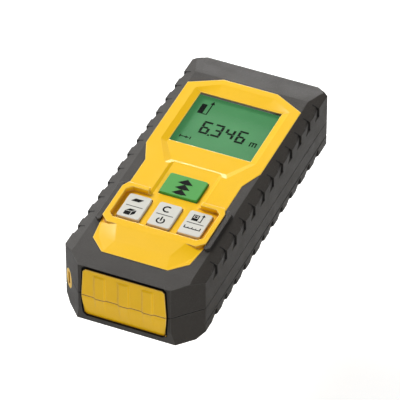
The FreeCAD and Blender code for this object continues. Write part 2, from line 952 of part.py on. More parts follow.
def upper_casing():
    casing = new_body()
    window_margin = size.window_lap + size.window_gap
    display = (display_near, display_far)
    add(casing, "XY_Plane", upper_rim, shell_top, plan(size.grip_wall))
    add(casing, "XY_Plane", shell_top, face_height, face_outline(0))
    add(casing, "XY_Plane", face_height, pad_height, pad_outline())
    chin(casing)
    remove(casing, "XY_Plane", upper_rim, roof_low, plan(casing_inset))
    remove(casing, "XY_Plane", roof_low, face_low, face_outline(size.shell_wall))
    remove(casing, "XY_Plane", face_low, gasket_top, rectangle(
        (-size.display_width / 2 - window_margin, size.display_width / 2 + window_margin),
        (display_near - window_margin, display_far + window_margin)))
    remove(casing, "XY_Plane", gasket_top, face_height, centred(size.display_width / 2, display))
    remove(casing, "XY_Plane", recess_floor, pad_height, recess_outline())
    remove(casing, "XY_Plane", face_height, pad_height, centred(
        size.channel_half_width + size.channel_draft, (pad_far - size.pad_rim - size.fit_gap, pad_far)))
    slope("Subtractive", casing, "XY_Plane", recess_floor, channel_outline(0),
          face_height, channel_outline(size.channel_draft))
    slope("Subtractive", casing, "XY_Plane", hollow_floor, hollow_outline(0), face_height, hollow_outline(1))
    for _, x, y, wide, long in key_spots():
        remove(casing, "XY_Plane", face_low, recess_floor, around(x, y, wide, long, size.key_gap))
    add(casing, "XZ_Plane", panel_face, near_face + size.grip_wall,
        panel_outline(upper_rim, panel_top, "top"))
    rib_top = panel_top - size.rib_top_drop
    ribs(casing, upper_rim, rib_top - size.rib_draft, rib_top, panel_face, True)
    bosses = []
    for x, y in screw_spots():
        pillar = rod("z", (x, y), size.screw_boss_radius, upper_rim, roof_low)
        bosses.append(cut(pillar, rod("z", (x, y), size.screw_radius, upper_rim - 1, roof_low)))
    for x, y in board_spots():
        pillar = rod("z", (x, y), size.board_boss_radius, board_top, roof_low)
        bosses.append(cut(pillar, rod("z", (x, y), size.board_screw_radius, board_top - 1, roof_low - 1)))
    sub_part("upper_casing", cut(fuse(casing, *bosses), bezel_hole(), eyelet_slot()))


def lower_grip():
    grip = new_body()
    bevel = size.base_bevel_width
    rise = size.base_bevel_height
    add(grip, "XY_Plane", 0, lower_rim, plan(0))
    remove(grip, "XZ_Plane", -far_face, far_face, *both_sides([
        (half_width - bevel, 0),
        (half_width, 0),
        (half_width, rise),
    ]), *both_sides([
        (half_width, size.crease_height - size.crease_depth),
        (half_width, size.crease_height + size.crease_depth),
        (half_width - size.crease_depth, size.crease_height),
    ]))
    remove(grip, "YZ_Plane", -half_width, half_width, [
        (far_face - bevel, 0),
        (far_face, 0),
        (far_face, rise),
    ], [
        (near_face, 0),
        (near_face + size.near_draft, 0),
        (near_face, size.crease_height),
    ])
    remove(grip, "XY_Plane", size.grip_underlap, lower_rim, plan(size.grip_wall))
    remove(grip, "XY_Plane", 0, size.grip_underlap, plan(size.base_rim))
    remove(grip, "XZ_Plane", near_face, near_face + size.grip_wall,
           panel_outline(size.panel_low, lower_rim, "bottom"))
    remove(grip, "XZ_Plane", near_face, near_face + size.panel_frame_depth,
           panel_outline(size.panel_low, lower_rim, "bottom", size.panel_frame))
    heel_top = size.crease_height - size.crease_depth - size.tread_slant
    outside = half_width + 1
    tread(grip, [
        (outside, heel_top),
        (half_width, heel_top),
        (half_width - size.tread_heel_depth, heel_top - size.tread_slant),
        (half_width - size.tread_heel_depth, rise),
        (half_width - size.tread_heel_width, -1),
        (outside, -1),
    ], [
        (outside, heel_top),
        (half_width, heel_top),
        (half_width - size.tread_toe_depth, heel_top - size.tread_slant),
        (half_width - size.tread_toe_depth, rise),
        (half_width - size.tread_toe_width, -1),
        (outside, -1),
    ])
    sub_part("lower_grip", cut(grip, bezel_hole(), eyelet_hole()))


def lower_casing():
    casing = new_body()
    cover_half = size.cover_half_width + size.cover_gap
    ledge_top = floor_top + size.ledge_gap + size.ledge_thickness
    ledge_low = floor_top + size.ledge_gap
    tray_half = bay_half + size.tray_wall
    socket_half = cover_half + size.hinge_pin_length + size.tray_wall
    barrel_room = size.hinge_radius + size.hinge_gap
    add(casing, "XY_Plane", size.grip_underlap, lower_rim, plan(size.grip_wall))
    add(casing, "XY_Plane", floor_low, size.grip_underlap, plan(size.base_rim))
    remove(casing, "XY_Plane", floor_top, lower_rim, plan(casing_inset))
    add(casing, "XZ_Plane", panel_face, near_face + size.grip_wall,
        panel_outline(size.panel_low, lower_rim, "bottom"))
    remove(casing, "YZ_Plane", -size.panel_half_width, size.panel_half_width, [
        (panel_face, size.panel_low),
        (panel_face + size.near_draft, size.panel_low),
        (panel_face, lower_rim - size.near_draft),
    ])
    fall = lower_rim - size.near_draft
    ribs(casing, size.rib_low, lower_rim, size.rib_low,
         panel_face + size.near_draft * (fall - size.rib_low) / (fall - size.panel_low), False)
    add(casing, "XY_Plane", floor_top, ledge_top,
        centred(socket_half, (cover_near - size.tray_wall, hinge_y + barrel_room + size.tray_wall)))
    add(casing, "XY_Plane", floor_top, tray_ceiling,
        centred(tray_half, (bay_near - size.tray_wall, bay_far + size.tray_wall)))
    add(casing, "XY_Plane", tray_ceiling, tray_top,
        centred(tray_half, (bay_near + size.tray_wall, bay_far - size.tray_wall)))
    add(casing, "XY_Plane", floor_top, hinge_z + barrel_room + size.hinge_gap, *both_sides(rectangle(
        (cover_half, socket_half), (hinge_y - barrel_room, hinge_y + barrel_room))))
    remove(casing, "XY_Plane", floor_low, ledge_low,
           centred(cover_half, (cover_near - size.cover_gap, hinge_y + barrel_room)))
    remove(casing, "XY_Plane", ledge_low, tray_ceiling, centred(bay_half, (bay_near, bay_far)))
    remove(casing, "XY_Plane", ledge_low, hinge_z + barrel_room,
           centred(cover_half, (hinge_y - barrel_room, hinge_y + barrel_room)))
    remove(casing, "XY_Plane", ledge_low, ledge_top, centred(
        size.catch_half_width + size.cover_gap, (cover_near - size.cover_gap, bay_near - size.tray_wall)))
    pin_hole = size.hinge_pin_radius + size.hinge_pin_gap
    pin_reach = cover_half + size.hinge_pin_length
    holes = [rod("x", (hinge_y, hinge_z), pin_hole, -pin_reach, pin_reach)]
    bosses = []
    for x, y in screw_spots():
        bosses.append(rod("z", (x, y), size.screw_boss_radius, floor_top, lower_rim))
        holes.append(rod("z", (x, y), size.screw_radius + size.screw_gap, floor_low - 1, lower_rim + 1))
        head = size.screw_head_radius + size.screw_gap
        holes.append(rod("z", (x, y), head, floor_low - 1, floor_top))
    groove = seal_ring(size.seal_width, lower_rim - size.seal_depth, lower_rim + 1)
    label = block(*label_box(size.fit_gap))
    sub_part("lower_casing", cut(fuse(casing, *bosses), bezel_hole(), eyelet_slot(), groove, label, *holes))


def ring_body(outer, inner, low, high):
    ring = new_body()
    add(ring, "XY_Plane", low, high, outer, inner)
    return ring


def seal_ring(width, low, high):
    inset = size.grip_wall + size.seal_inset
    return ring_body(plan(inset), plan(inset + width), low, high)


def casing_seal():
    ring = seal_ring(size.seal_width, lower_rim - size.seal_depth, upper_rim)
    sub_part("casing_seal", cut(ring, bezel_hole(), eyelet_slot()))


def label_box(gap):
    far = far_face - size.label_from_far + gap
    near = far_face - size.label_from_far - size.label_length - gap
    side = size.label_half_width + gap
    return (-side, side), (near, far), (floor_low, floor_low + size.label_thickness)


def rear_label():
    sub_part("rear_label", block(*label_box(0)))


# ---------------------------------------------------------------------------------------------
# Display
# ---------------------------------------------------------------------------------------------

def display_slab(margin, low, high):
    across = size.display_width / 2 + margin
    return block((-across, across), (display_near - margin, display_far + margin), (low, high))


def display_stack():
    frame_margin = size.glass_lap + size.fit_gap + size.frame_wall
    zebra_near = display_near - size.glass_lap + size.fit_gap
    zebra_far = zebra_near + size.zebra_width
    across = size.display_width / 2
    sub_part("display_window", display_slab(size.window_lap, window_low, window_top))
    sub_part("display_gasket", cut(
        display_slab(size.window_lap, window_top, gasket_top),
        display_slab(size.window_lap - size.gasket_width, window_top - 1, gasket_top + 1)))
    sub_part("lcd_glass", display_slab(size.glass_lap, glass_low, glass_top))
    sub_part("backlight_panel", block(
        (-across, across), (zebra_far + size.fit_gap, display_far), (backlight_low, backlight_top)))
    sub_part("zebra_strip", block((-across, across), (zebra_near, zebra_far), (board_top, glass_low)))
    zebra_slot = block((-across - size.fit_gap, across + size.fit_gap),
                       (zebra_near - size.fit_gap, zebra_far + size.fit_gap), (board_top, glass_low))
    sub_part("lcd_frame", cut(
        display_slab(frame_margin, board_top, glass_top),
        display_slab(size.glass_lap + size.fit_gap, backlight_low - size.backlight_gap, glass_top + 1),
        zebra_slot))


# ---------------------------------------------------------------------------------------------
# Keys
# ---------------------------------------------------------------------------------------------

def key(node, x, y, wide, long):
    cap = new_body()
    key_top = recess_floor + size.key_proud
    flange_top = face_low - size.flange_gap
    flange_low = flange_top - size.flange_thickness
    add(cap, "XY_Plane", flange_top, key_top, around(x, y, wide, long, 0))
    round_edges(cap, size.key_corner, upright)
    round_edges(cap, size.key_edge, at_height(key_top))
    add(cap, "XY_Plane", flange_low, flange_top, around(x, y, wide, long, size.flange_lap))
    sub_part(node, cap)
    side = size.plunger_side / 2
    plunger_low = dome_top + size.key_travel + size.fit_gap
    name = node.replace("_key", "").replace("_button", "") + "_plunger"
    sub_part(name, block((x - side, x + side), (y - side, y + side), (plunger_low, flange_low)))


def key_dome(x, y):
    top_radius = size.dome_radius * 0.6
    outer = cone("z", (x, y), size.dome_radius, top_radius, board_top, dome_top)
    inner = cone("z", (x, y), size.dome_radius - size.dome_sheet, top_radius - size.dome_sheet,
                 board_top - size.dome_sheet, dome_top - size.dome_sheet)
    return cut(outer, inner)


def keypad():
    mat = new_body()
    side = size.key_spacing + size.mat_hole / 2 + size.mat_margin
    near = key_row - size.mat_hole / 2 - size.mat_margin
    far = measure_row + size.mat_hole / 2 + size.mat_margin
    add(mat, "XY_Plane", board_top, board_top + size.mat_thickness, centred(side, (near, far)))
    for _, x, y, _, _ in key_spots():
        hole = around(x, y, size.mat_hole, size.mat_hole, 0)
        remove(mat, "XY_Plane", board_top, board_top + size.mat_thickness, hole)
    sub_part("keypad_mat", mat)
    sub_part("key_domes", group(*[key_dome(x, y) for _, x, y, _, _ in key_spots()]))
    for spot in key_spots():
        key(*spot)


# ---------------------------------------------------------------------------------------------
# Boards
# ---------------------------------------------------------------------------------------------

def main_board():
    board = new_body()
    neck_y = near_face + size.screw_near_inset + size.screw_boss_radius + size.board_gap
    far_y = far_face - size.screw_far_inset - size.screw_boss_radius - size.board_gap
    add(board, "XY_Plane", board_low, board_top, whole_of([
        (size.board_neck_half_width, bay_near - size.tray_wall),
        (size.board_neck_half_width, neck_y),
        (size.board_half_width, neck_y),
        (size.board_half_width, far_y),
    ]))
    holes = [rod("z", spot, size.board_screw_radius + size.fit_gap, board_low - 1, board_top + 1)
             for spot in board_spots()]
    slots = []
    for side in (-1, 1):
        x = side * cell_spacing / 2
        tab = size.tab_width / 2 + size.fit_gap
        across = (x - tab, x + tab)
        sheet = size.contact_sheet + size.fit_gap
        slots.append(block(across, (bay_near - size.fit_gap, bay_near + sheet), (board_low, board_top)))
        slots.append(block(across, (bay_far - sheet, bay_far + size.fit_gap), (board_low, board_top)))
    sub_part("main_board", cut(board, *holes, *slots))


def board_screw(x, y):
    shank = rod("z", (x, y), size.board_screw_radius, board_low, roof_low - size.board_screw_rest)
    head = rod("z", (x, y), size.board_screw_head, board_low - size.board_gap, board_low)
    return fuse(shank, head)


def casing_screw(x, y):
    head_low = floor_top - size.screw_head_height
    head = rod("z", (x, y), size.screw_head_radius, head_low, floor_top)
    shank = rod("z", (x, y), size.screw_radius, floor_top, roof_low - 1)
    half = size.screw_drive_length / 2
    thin = size.screw_drive_width / 2
    slot = block((x - half, x + half), (y - thin, y + thin), (head_low, head_low + size.screw_drive_depth))
    return cut(fuse(head, shank), slot)


def chip(x, y, wide, long, tall):
    """A box that hangs from the underside of the board."""
    return block((x - wide / 2, x + wide / 2), (y - long / 2, y + long / 2), (board_low - tall, board_low))


def electronics():
    middle = (hinge_y + carrier_back) / 2
    can_x = size.can_x
    tall = size.chip_height
    step = size.memory_side / 2
    far_screw = display_far + size.window_lap + size.frame_wall + size.board_boss_radius
    chips = [
        chip(can_x - step, middle + step, size.processor_side, size.processor_side, tall),
        chip(can_x + step * 2, middle - step, size.memory_side, size.memory_side, tall),
        chip(can_x - step, middle - step * 2, size.timer_width, size.timer_length, tall),
        chip(size.driver_x, middle - step * 3, size.driver_side, size.driver_side, tall),
        chip(board_boss_x, far_screw - size.driver_side * 2,
             size.inductor_width, size.inductor_length, size.inductor_height),
    ]
    sheet = size.can_sheet
    can = chip(can_x, middle, size.can_width, size.can_length, size.can_height)
    hollow = chip(can_x, middle, size.can_width - sheet * 2, size.can_length - sheet * 2,
                  size.can_height - sheet)
    sub_part("board_chips", group(*chips))
    sub_part("board_shield", cut(can, hollow))
    spot = (size.buzzer_x, middle + size.memory_side)
    buzzer_low = board_low - size.buzzer_height
    sub_part("buzzer", cut(rod("z", spot, size.buzzer_radius, buzzer_low, board_low),
                           rod("z", spot, size.buzzer_hole, buzzer_low - 1, buzzer_low + 1)))
    sub_part("board_screws", group(*[board_screw(x, y) for x, y in board_spots()]))
    sub_part("casing_screws", group(*[casing_screw(x, y) for x, y in screw_spots()]))


# ---------------------------------------------------------------------------------------------
# Optics
# ---------------------------------------------------------------------------------------------

def optics():
    lens_front = carrier_front - size.lens_seat
    lens_back = lens_front - size.lens_thickness
    barrel_back = carrier_front - size.barrel_length
    left = size.receiver_x - size.lens_radius - size.carrier_wall
    right = size.laser_x + size.barrel_radius + size.carrier_wall
    sub_part("optics_carrier", cut(
        block((left, right), (carrier_back, carrier_front), (optic_low, optic_top)),
        rod("y", receiver, size.lens_radius, lens_back, carrier_front + 1),
        cone("y", receiver, size.lens_tunnel, size.lens_radius - size.carrier_wall,
             carrier_back, lens_back),
        rod("y", laser, size.barrel_radius, carrier_back - 1, carrier_front + 1)))
    dome = DOC.addObject("Part::Sphere", "Dome")
    bind(dome, "Radius", size.lens_dome_radius)
    place_round(dome, "y", receiver, lens_front - size.lens_dome_radius)
    lens = DOC.addObject("Part::Common", "Lens")
    lens.Base = rod("y", receiver, size.lens_radius, lens_back, lens_front)
    lens.Tool = dome
    sub_part("receiver_lens", lens)
    sub_part("laser_barrel", tube("y", laser, size.barrel_radius, size.barrel_bore,
                                  barrel_back, carrier_front))
    collimator_front = carrier_front - size.collimator_inset
    sub_part("collimator_lens", rod("y", laser, size.barrel_bore,
                                    collimator_front - size.collimator_length, collimator_front))
    flange_back = barrel_back - size.diode_flange
    pin_back = flange_back - size.diode_pin_length
    circle = size.diode_pin_circle
    pins = [rod("y", (size.laser_x + dx, optic_axis + dz), size.diode_pin_radius, pin_back, flange_back)
            for dx, dz in ((circle, 0), (-circle, 0), (0, circle))]
    sub_part("laser_diode", fuse(
        rod("y", laser, size.diode_flange_radius, flange_back, barrel_back),
        rod("y", laser, size.barrel_bore - size.fit_gap, barrel_back, barrel_back + size.diode_length),
        *pins))
    board_back = carrier_back - size.board_thickness
    board_right = size.receiver_x + size.lens_radius
    sub_part("receiver_board", block((left, board_right), (board_back, carrier_back), (optic_low, optic_top)))
    sub_part("photodiode", fuse(
        rod("y", receiver, size.photodiode_radius, carrier_back, carrier_back + size.photodiode_base),
        rod("y", receiver, size.photodiode_cap_radius, carrier_back + size.photodiode_base,
            carrier_back + size.photodiode_base + size.photodiode_cap)))
    sub_part("board_header", block(
        (left + 1, board_right - 1), (board_back, carrier_back), (optic_top, board_low)))
    sub_part("laser_flex", block(
        (size.laser_x - size.flex_half_width, size.laser_x + size.flex_half_width),
        (pin_back - size.flex_thickness, pin_back), (optic_axis - size.flex_below_axis, board_low)))


def front_windows():
    pane_front = bezel_front - size.pane_inset
    pane_back = pane_front - size.pane_thickness
    side = (-size.bezel_half_width, size.bezel_half_width)
    plate = block(side, (bezel_back, bezel_front), (size.bezel_low, size.bezel_high))
    tools = []
    for centre, hole in ((receiver, size.receiver_hole), (laser, size.laser_hole)):
        tools.append(rod("y", centre, hole, bezel_back - 1, bezel_front + 1))
        tools.append(rod("y", centre, hole + size.glass_rim, pane_back, bezel_front + 1))
    sub_part("front_bezel", cut(plate, *tools))
    sub_part("receiver_window", rod("y", receiver, size.receiver_hole + size.glass_rim, pane_back, pane_front))
    sub_part("laser_window", rod("y", laser, size.laser_hole + size.glass_rim, pane_back, pane_front))


# ---------------------------------------------------------------------------------------------
# Cells, contacts and the battery cover
# ---------------------------------------------------------------------------------------------

def coil(x, low, high):
    """A contact spring along Y between two places."""
    length = as_length(high) - low - size.spring_wire * 2
    path = DOC.addObject("Part::Helix", "Coil")
    bind(path, "Pitch", size.spring_pitch)
    bind(path, "Height", length)
    bind(path, "Radius", size.spring_radius)
    bind(path, "SegmentLength", size.spring_segment)
    DOC.recompute()
    wire = DOC.addObject("Part::Circle", "Wire")
    wire.Placement = Placement(Vector(), Rotation(Vector(1, 0, 0), 90))
    bind(wire, "Radius", size.spring_wire)
    bind(wire, "Placement.Base.x", size.spring_radius)
    made = DOC.addObject("Part::Sweep", "Spring")
    made.Sections = [wire]
    made.Spine = (path, [f"Edge{index}" for index in range(1, len(path.Shape.Edges) + 1)])
    made.Solid = True
    made.Frenet = True
    return place_round(made, "y", (x, cell_axis), low + size.spring_wire)


def cell(node, x, near, nub_at_near):
    radius = size.cell_diameter / 2
    far = near + size.cell_length
    nub = size.cell_nub_length
    if nub_at_near:
        body = rod("y", (x, cell_axis), radius, near + nub, far)
        tip = rod("y", (x, cell_axis), size.cell_nub_radius, near, near + nub)
    else:
        body = rod("y", (x, cell_axis), radius, near, far - nub)
        tip = rod("y", (x, cell_axis), size.cell_nub_radius, far - nub, far)
    sub_part(node, fuse(body, tip))


def contact(x, low, high):
    half = size.contact_width / 2
    tab = size.tab_width / 2
    plate = block((x - half, x + half), (low, high), (cell_axis - half, cell_axis + half))
    return fuse(plate, block((x - tab, x + tab), (low, high), (cell_axis, board_top)))


def batteries():
    left = -cell_spacing / 2
    right = cell_spacing / 2
    sheet = size.contact_sheet
    touch = size.cell_gap / 2
    left_near = bay_near + sheet + size.spring_length + touch
    right_near = bay_near + sheet + touch
    cell("battery_left", left, left_near, False)
    cell("battery_right", right, right_near, True)
    sub_part("battery_springs", group(
        coil(left, bay_near + sheet, left_near),
        coil(right, right_near + size.cell_length, bay_far - sheet)))
    sub_part("battery_plates", group(
        contact(left, bay_near, bay_near + sheet),
        contact(right, bay_near, bay_near + sheet),
        contact(left, bay_far - sheet, bay_far),
        contact(right, bay_far - sheet, bay_far)))


def battery_cover():
    half = size.cover_half_width
    hinge = (hinge_y, hinge_z)
    reach = half + size.cover_gap + size.hinge_pin_length - size.fit_gap * 2
    plate = block((-half, half), (cover_near, hinge_y), (floor_low, floor_top))
    barrel = rod("x", hinge, size.hinge_radius, -half, half)
    pins = rod("x", hinge, size.hinge_pin_radius, -reach, reach)
    catch = block((-size.catch_half_width, size.catch_half_width),
                  (cover_near, cover_near + size.catch_thickness),
                  (floor_top, floor_top + size.catch_height))
    groove_half = size.catch_half_width * 1.5
    grooves = []
    for index in range(1, 5):
        near = cover_near + size.thumb_groove * 4 * index
        grooves.append(block((-groove_half, groove_half), (near, near + size.thumb_groove * 2),
                             (floor_low, floor_low + size.thumb_groove)))
    sub_part("battery_cover", cut(fuse(plate, barrel, pins, catch), *grooves))
    foam_half = bay_half - size.soft_gap
    sub_part("cover_pad", block((-foam_half, foam_half), 
                                (bay_near + size.foam_end_gap, bay_far - size.foam_end_gap), (floor_top, foam_top)))


# ---------------------------------------------------------------------------------------------
# Build, check and write
# ---------------------------------------------------------------------------------------------

def check_document():
    """Stop if anything failed to build or a pocket took nothing away."""
    for thing in DOC.Objects:
        if {"Invalid", "Error"} & set(thing.State):
            raise RuntimeError(f"{thing.Name} did not build: {thing.State}")
    for pocket in CUTS:
        if pocket.Shape.Volume >= pocket.BaseFeature.Shape.Volume - 1e-6:
            raise RuntimeError(f"{pocket.Name} removes nothing")
    for piece in PARTS:
        if piece.Shape.isNull() or not piece.Shape.isValid() or not piece.Shape.Solids:
            raise RuntimeError(f"{piece.Label} is not a valid solid")


def write_parts():
    os.makedirs("parts", exist_ok=True)
    for piece in PARTS:
        piece.Shape.exportStep(f"parts/{piece.Label}.step")
        box = piece.Shape.BoundBox
        print(f"{piece.Label:24s} {len(piece.Shape.Solids)} solid(s), {piece.Shape.Volume:9.1f} mm3,"
              f" {box.XLength:.1f} x {box.YLength:.1f} x {box.ZLength:.1f}")
    print(len(PARTS), "nodes")


upper_casing()
upper_grip()
lower_casing()
lower_grip()
casing_seal()
lanyard_eyelet()
rear_label()
display_stack()
keypad()
main_board()
electronics()
optics()
front_windows()
batteries()
battery_cover()
DOC.recompute()
check_document()
write_parts()
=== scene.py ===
# %% [markdown]
# # A laser distance meter, dressed in its finishes
# The CAD model gives every part its place and size. This lesson gives each part the look of the real thing:
# moulded ABS, pebbled rubber, a backlit display under clear acrylic, silicone keys, and the works inside.
# Lengths are in metres in the CAD model's own frame: +X is right, +Y points at the laser end, +Z is up.

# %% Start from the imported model
import math

import bmesh
import bpy
from mathutils import Matrix, Vector
from mathutils.noise import noise as smooth_noise


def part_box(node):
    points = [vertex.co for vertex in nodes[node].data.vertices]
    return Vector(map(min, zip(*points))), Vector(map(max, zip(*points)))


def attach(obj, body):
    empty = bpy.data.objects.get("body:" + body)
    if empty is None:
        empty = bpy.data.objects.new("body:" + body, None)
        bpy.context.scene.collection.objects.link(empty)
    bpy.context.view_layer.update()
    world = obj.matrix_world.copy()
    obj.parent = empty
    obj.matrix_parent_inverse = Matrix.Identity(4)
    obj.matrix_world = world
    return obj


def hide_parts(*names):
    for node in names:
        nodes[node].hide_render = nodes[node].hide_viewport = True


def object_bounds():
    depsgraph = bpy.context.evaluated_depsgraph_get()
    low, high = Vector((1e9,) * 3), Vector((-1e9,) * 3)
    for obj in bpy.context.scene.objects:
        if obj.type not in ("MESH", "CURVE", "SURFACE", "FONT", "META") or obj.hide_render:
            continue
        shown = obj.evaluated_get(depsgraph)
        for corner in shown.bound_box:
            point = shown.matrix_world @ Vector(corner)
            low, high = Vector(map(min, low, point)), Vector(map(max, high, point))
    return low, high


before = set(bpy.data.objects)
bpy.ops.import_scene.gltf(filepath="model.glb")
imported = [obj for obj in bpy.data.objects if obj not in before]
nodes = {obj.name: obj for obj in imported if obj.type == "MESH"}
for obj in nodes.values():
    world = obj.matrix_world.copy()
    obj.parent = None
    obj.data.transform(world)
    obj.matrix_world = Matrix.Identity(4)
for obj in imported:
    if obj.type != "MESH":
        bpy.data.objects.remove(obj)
cad_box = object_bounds()
MM = 0.001
print("nodes:", len(nodes), "box in mm:", [round(v / MM, 2) for v in (*cad_box[0], *cad_box[1])])

# %% [markdown]
# ## Camera
# The meter lies on its back and is looked at from above its near right corner. A long lens from over a metre
# away keeps its edges almost parallel. The direction is a turn about the vertical and a height angle.

# %% Camera
TURN, HEIGHT = math.radians(23.404), math.radians(40.688)
CAMERA_PLACE = Vector((0.4631, -1.0654, 1.0110))
LENS, SENSOR = 409.3, 36
NEAREST, FARTHEST = 0.01, 20


def towards(turn, height):
    """The direction from the object to a viewer at that turn and height."""
    return Vector((math.sin(turn) * math.cos(height), -math.cos(turn) * math.cos(height), math.sin(height)))


camera = bpy.data.objects.new("camera", bpy.data.cameras.new("camera"))
bpy.context.scene.collection.objects.link(camera)
camera.location = CAMERA_PLACE
camera.rotation_mode = "QUATERNION"
camera.rotation_quaternion = (-towards(TURN, HEIGHT)).to_track_quat("-Z", "Y")
camera.data.sensor_width = SENSOR
camera.data.lens = LENS
camera.data.clip_start, camera.data.clip_end = NEAREST, FARTHEST
bpy.context.scene.camera = camera
print("camera at", [round(v, 3) for v in camera.location], "lens", camera.data.lens)

# %% [markdown]
# ## Node trees
# Every finish below is a small tree of nodes round one Principled shader. A helper that makes a node, sets its
# sockets and joins it to others keeps each finish short enough to read.


# %% A small writer of node trees
class Tree:
    """Writes nodes into one node tree. A socket's value may be a number, a colour or another node's output."""

    def __init__(self, tree):
        self.tree = tree
        tree.nodes.clear()

    def add(self, kind, sockets=(), **settings):
        node = self.tree.nodes.new(kind)
        for name, value in settings.items():
            setattr(node, name, value)
        for name, value in dict(sockets).items():
            self.join(value, node.inputs[name])
        return node

    def join(self, value, socket):
        if isinstance(value, bpy.types.NodeSocket):
            self.tree.links.new(value, socket)
        else:
            socket.default_value = value

    def noise(self, where, size, detail=3.0, rough=0.55, **more):
        """Noise whose lumps are about that many metres across."""
        return self.add("ShaderNodeTexNoise", {
            "Vector": where, "Scale": 1 / size, "Detail": detail, "Roughness": rough, **more}).outputs["Fac"]

    def span(self, value, from_low, from_high, to_low, to_high):
        return self.add("ShaderNodeMapRange", {
            "Value": value, "From Min": from_low, "From Max": from_high,
            "To Min": to_low, "To Max": to_high}).outputs["Result"]

    def sum(self, kind, a, b=0.0):
        node = self.add("ShaderNodeMath", operation=kind)
        self.join(a, node.inputs[0])
        self.join(b, node.inputs[1])
        return node.outputs[0]

    def blend(self, share, a, b, kind="MIX"):
        node = self.add("ShaderNodeMix", data_type="RGBA", blend_type=kind)
        self.join(share, node.inputs[0])
        self.join(a, node.inputs[6])
        self.join(b, node.inputs[7])
        return node.outputs[2]

    def bump(self, height, depth, strength=1.0, after=None):
        """A bump that many metres deep."""
        sockets = {"Height": height, "Distance": depth, "Strength": strength}
        if after:
            sockets["Normal"] = after
        return self.add("ShaderNodeBump", sockets).outputs["Normal"]


def colour(red, green, blue, alpha=1.0):
    """A colour from its 0 to 255 screen values, as the linear light that shaders use."""
    line = [v / 255 for v in (red, green, blue)]
    return (*[v / 12.92 if v <= 0.04045 else ((v + 0.055) / 1.055) ** 2.4 for v in line], alpha)


def deeper(tone, by):
    return (*[v * by for v in tone[:3]], 1.0)


# %% [markdown]
# ## Floor and surroundings
# The floor lies far enough below the meter for its battery cover to swing down open, so its shadow is faint.
# Seen straight from the camera the surroundings are plain white. As light on the object they stay at a plain
# level, so that every colour renders about as it is written.

# %% Floor and world
FLOOR_DROP = 0.058
FLOOR_GLOW = 0.62
FLOOR_HALF = 3.0
PAPER_DARK, PAPER_LIGHT = (0.78, 0.78, 0.775, 1), (0.82, 0.82, 0.815, 1)
PAPER_GRAIN = 0.004
WORLD_LIGHT = 0.27
SEEN_WHITE = 1.0


def seen(tree):
    """1 for a ray straight from the camera or through glass, and 0 for light on its way to the object."""
    path = tree.add("ShaderNodeLightPath")
    return tree.sum("MAXIMUM", path.outputs["Is Camera Ray"], path.outputs["Is Transmission Ray"])


def floor_paint():
    paint = bpy.data.materials.new("studio_floor")
    paint.use_nodes = True
    tree = Tree(paint.node_tree)
    where = tree.add("ShaderNodeTexCoord").outputs["Object"]
    paper = tree.noise(where, PAPER_GRAIN, detail=4)
    tone = tree.blend(paper, PAPER_DARK, PAPER_LIGHT)
    matt = tree.add("ShaderNodeBsdfDiffuse", {"Color": tone}).outputs[0]
    brightness = tree.sum("MULTIPLY", seen(tree), FLOOR_GLOW)
    glow = tree.add("ShaderNodeEmission", {"Strength": brightness}).outputs[0]
    both = tree.add("ShaderNodeAddShader")
    tree.join(matt, both.inputs[0])
    tree.join(glow, both.inputs[1])
    tree.add("ShaderNodeOutputMaterial", {"Surface": both.outputs[0]})
    return paint


def make_floor():
    mesh = bpy.data.meshes.new("studio_floor")
    half = FLOOR_HALF
    corners = [(-half, -half, 0), (half, -half, 0), (half, half, 0), (-half, half, 0)]
    mesh.from_pydata(corners, [], [(0, 1, 2, 3)])
    mesh.transform(Matrix.Translation((0, 0, cad_box[0].z - FLOOR_DROP)))
    floor = bpy.data.objects.new("studio_floor", mesh)
    bpy.context.scene.collection.objects.link(floor)
    mesh.materials.append(floor_paint())


world = bpy.data.worlds.new("studio")
bpy.context.scene.world = world
world.use_nodes = True
sky = Tree(world.node_tree)
strength = sky.span(seen(sky), 0, 1, WORLD_LIGHT, SEEN_WHITE)
background = sky.add("ShaderNodeBackground", {"Color": (1, 1, 1, 1), "Strength": strength})
sky.add("ShaderNodeOutputWorld", {"Surface": background.outputs[0]})
make_floor()
print("floor at", round((cad_box[0].z - FLOOR_DROP) / MM, 1), "mm")

# %% [markdown]
# ## Lamps
# Three soft square lamps face the meter. The key light comes from the far left and gives the top its level. A
# weaker one at the near right opens the end panel and the right side. A low one stands behind the far end, for
# the slopes that face away from the viewer.


# %% Lamps
def lamp(name, place, power, width):
    """A square soft light that faces the meter."""
    data = bpy.data.lights.new(name, "AREA")
    data.energy = power
    data.size = width
    made = bpy.data.objects.new(name, data)
    bpy.context.scene.collection.objects.link(made)
    made.location = place
    made.rotation_mode = "QUATERNION"
    made.rotation_quaternion = Vector(place).to_track_quat("Z", "Y")


lamp("key_light", (-0.72, 0.36, 0.8), 11.6, 0.4)
lamp("fill_light", (0.75, -0.75, 0.42), 3.6, 0.3)
lamp("far_light", (-0.33, 1.03, 0.24), 3.9, 0.3)
view = bpy.context.scene.view_settings
view.view_transform = "Standard"

# %% [markdown]
# ## Moulded plastic and rubber
# A tool marks its mouldings: spark-eroded steel leaves a fine grain, flow leaves faint tone changes, and
# handling polishes some patches. Edges get a painted highlight, a paler tone, and corners and creases get
# painted shade, a darker tone where nearby surfaces crowd in. The shader also rounds the light on each edge
# over a fraction of a millimetre. One recipe with a few sizes makes all of the plastics and rubbers here.


# %% Moulded finish
FLOW, SPECK, RUB = 0.021, 0.0011, 0.0065
CREVICE = 0.0022
EDGE_RAYS = 6


def start(name):
    """A new material: its tree, its object coordinates and its Principled shader."""
    paint = bpy.data.materials.new(name)
    paint.use_nodes = True
    tree = Tree(paint.node_tree)
    where = tree.add("ShaderNodeTexCoord").outputs["Object"]
    shader = tree.add("ShaderNodeBsdfPrincipled")
    tree.add("ShaderNodeOutputMaterial", {"Surface": shader.outputs[0]})
    return paint, tree, where, shader


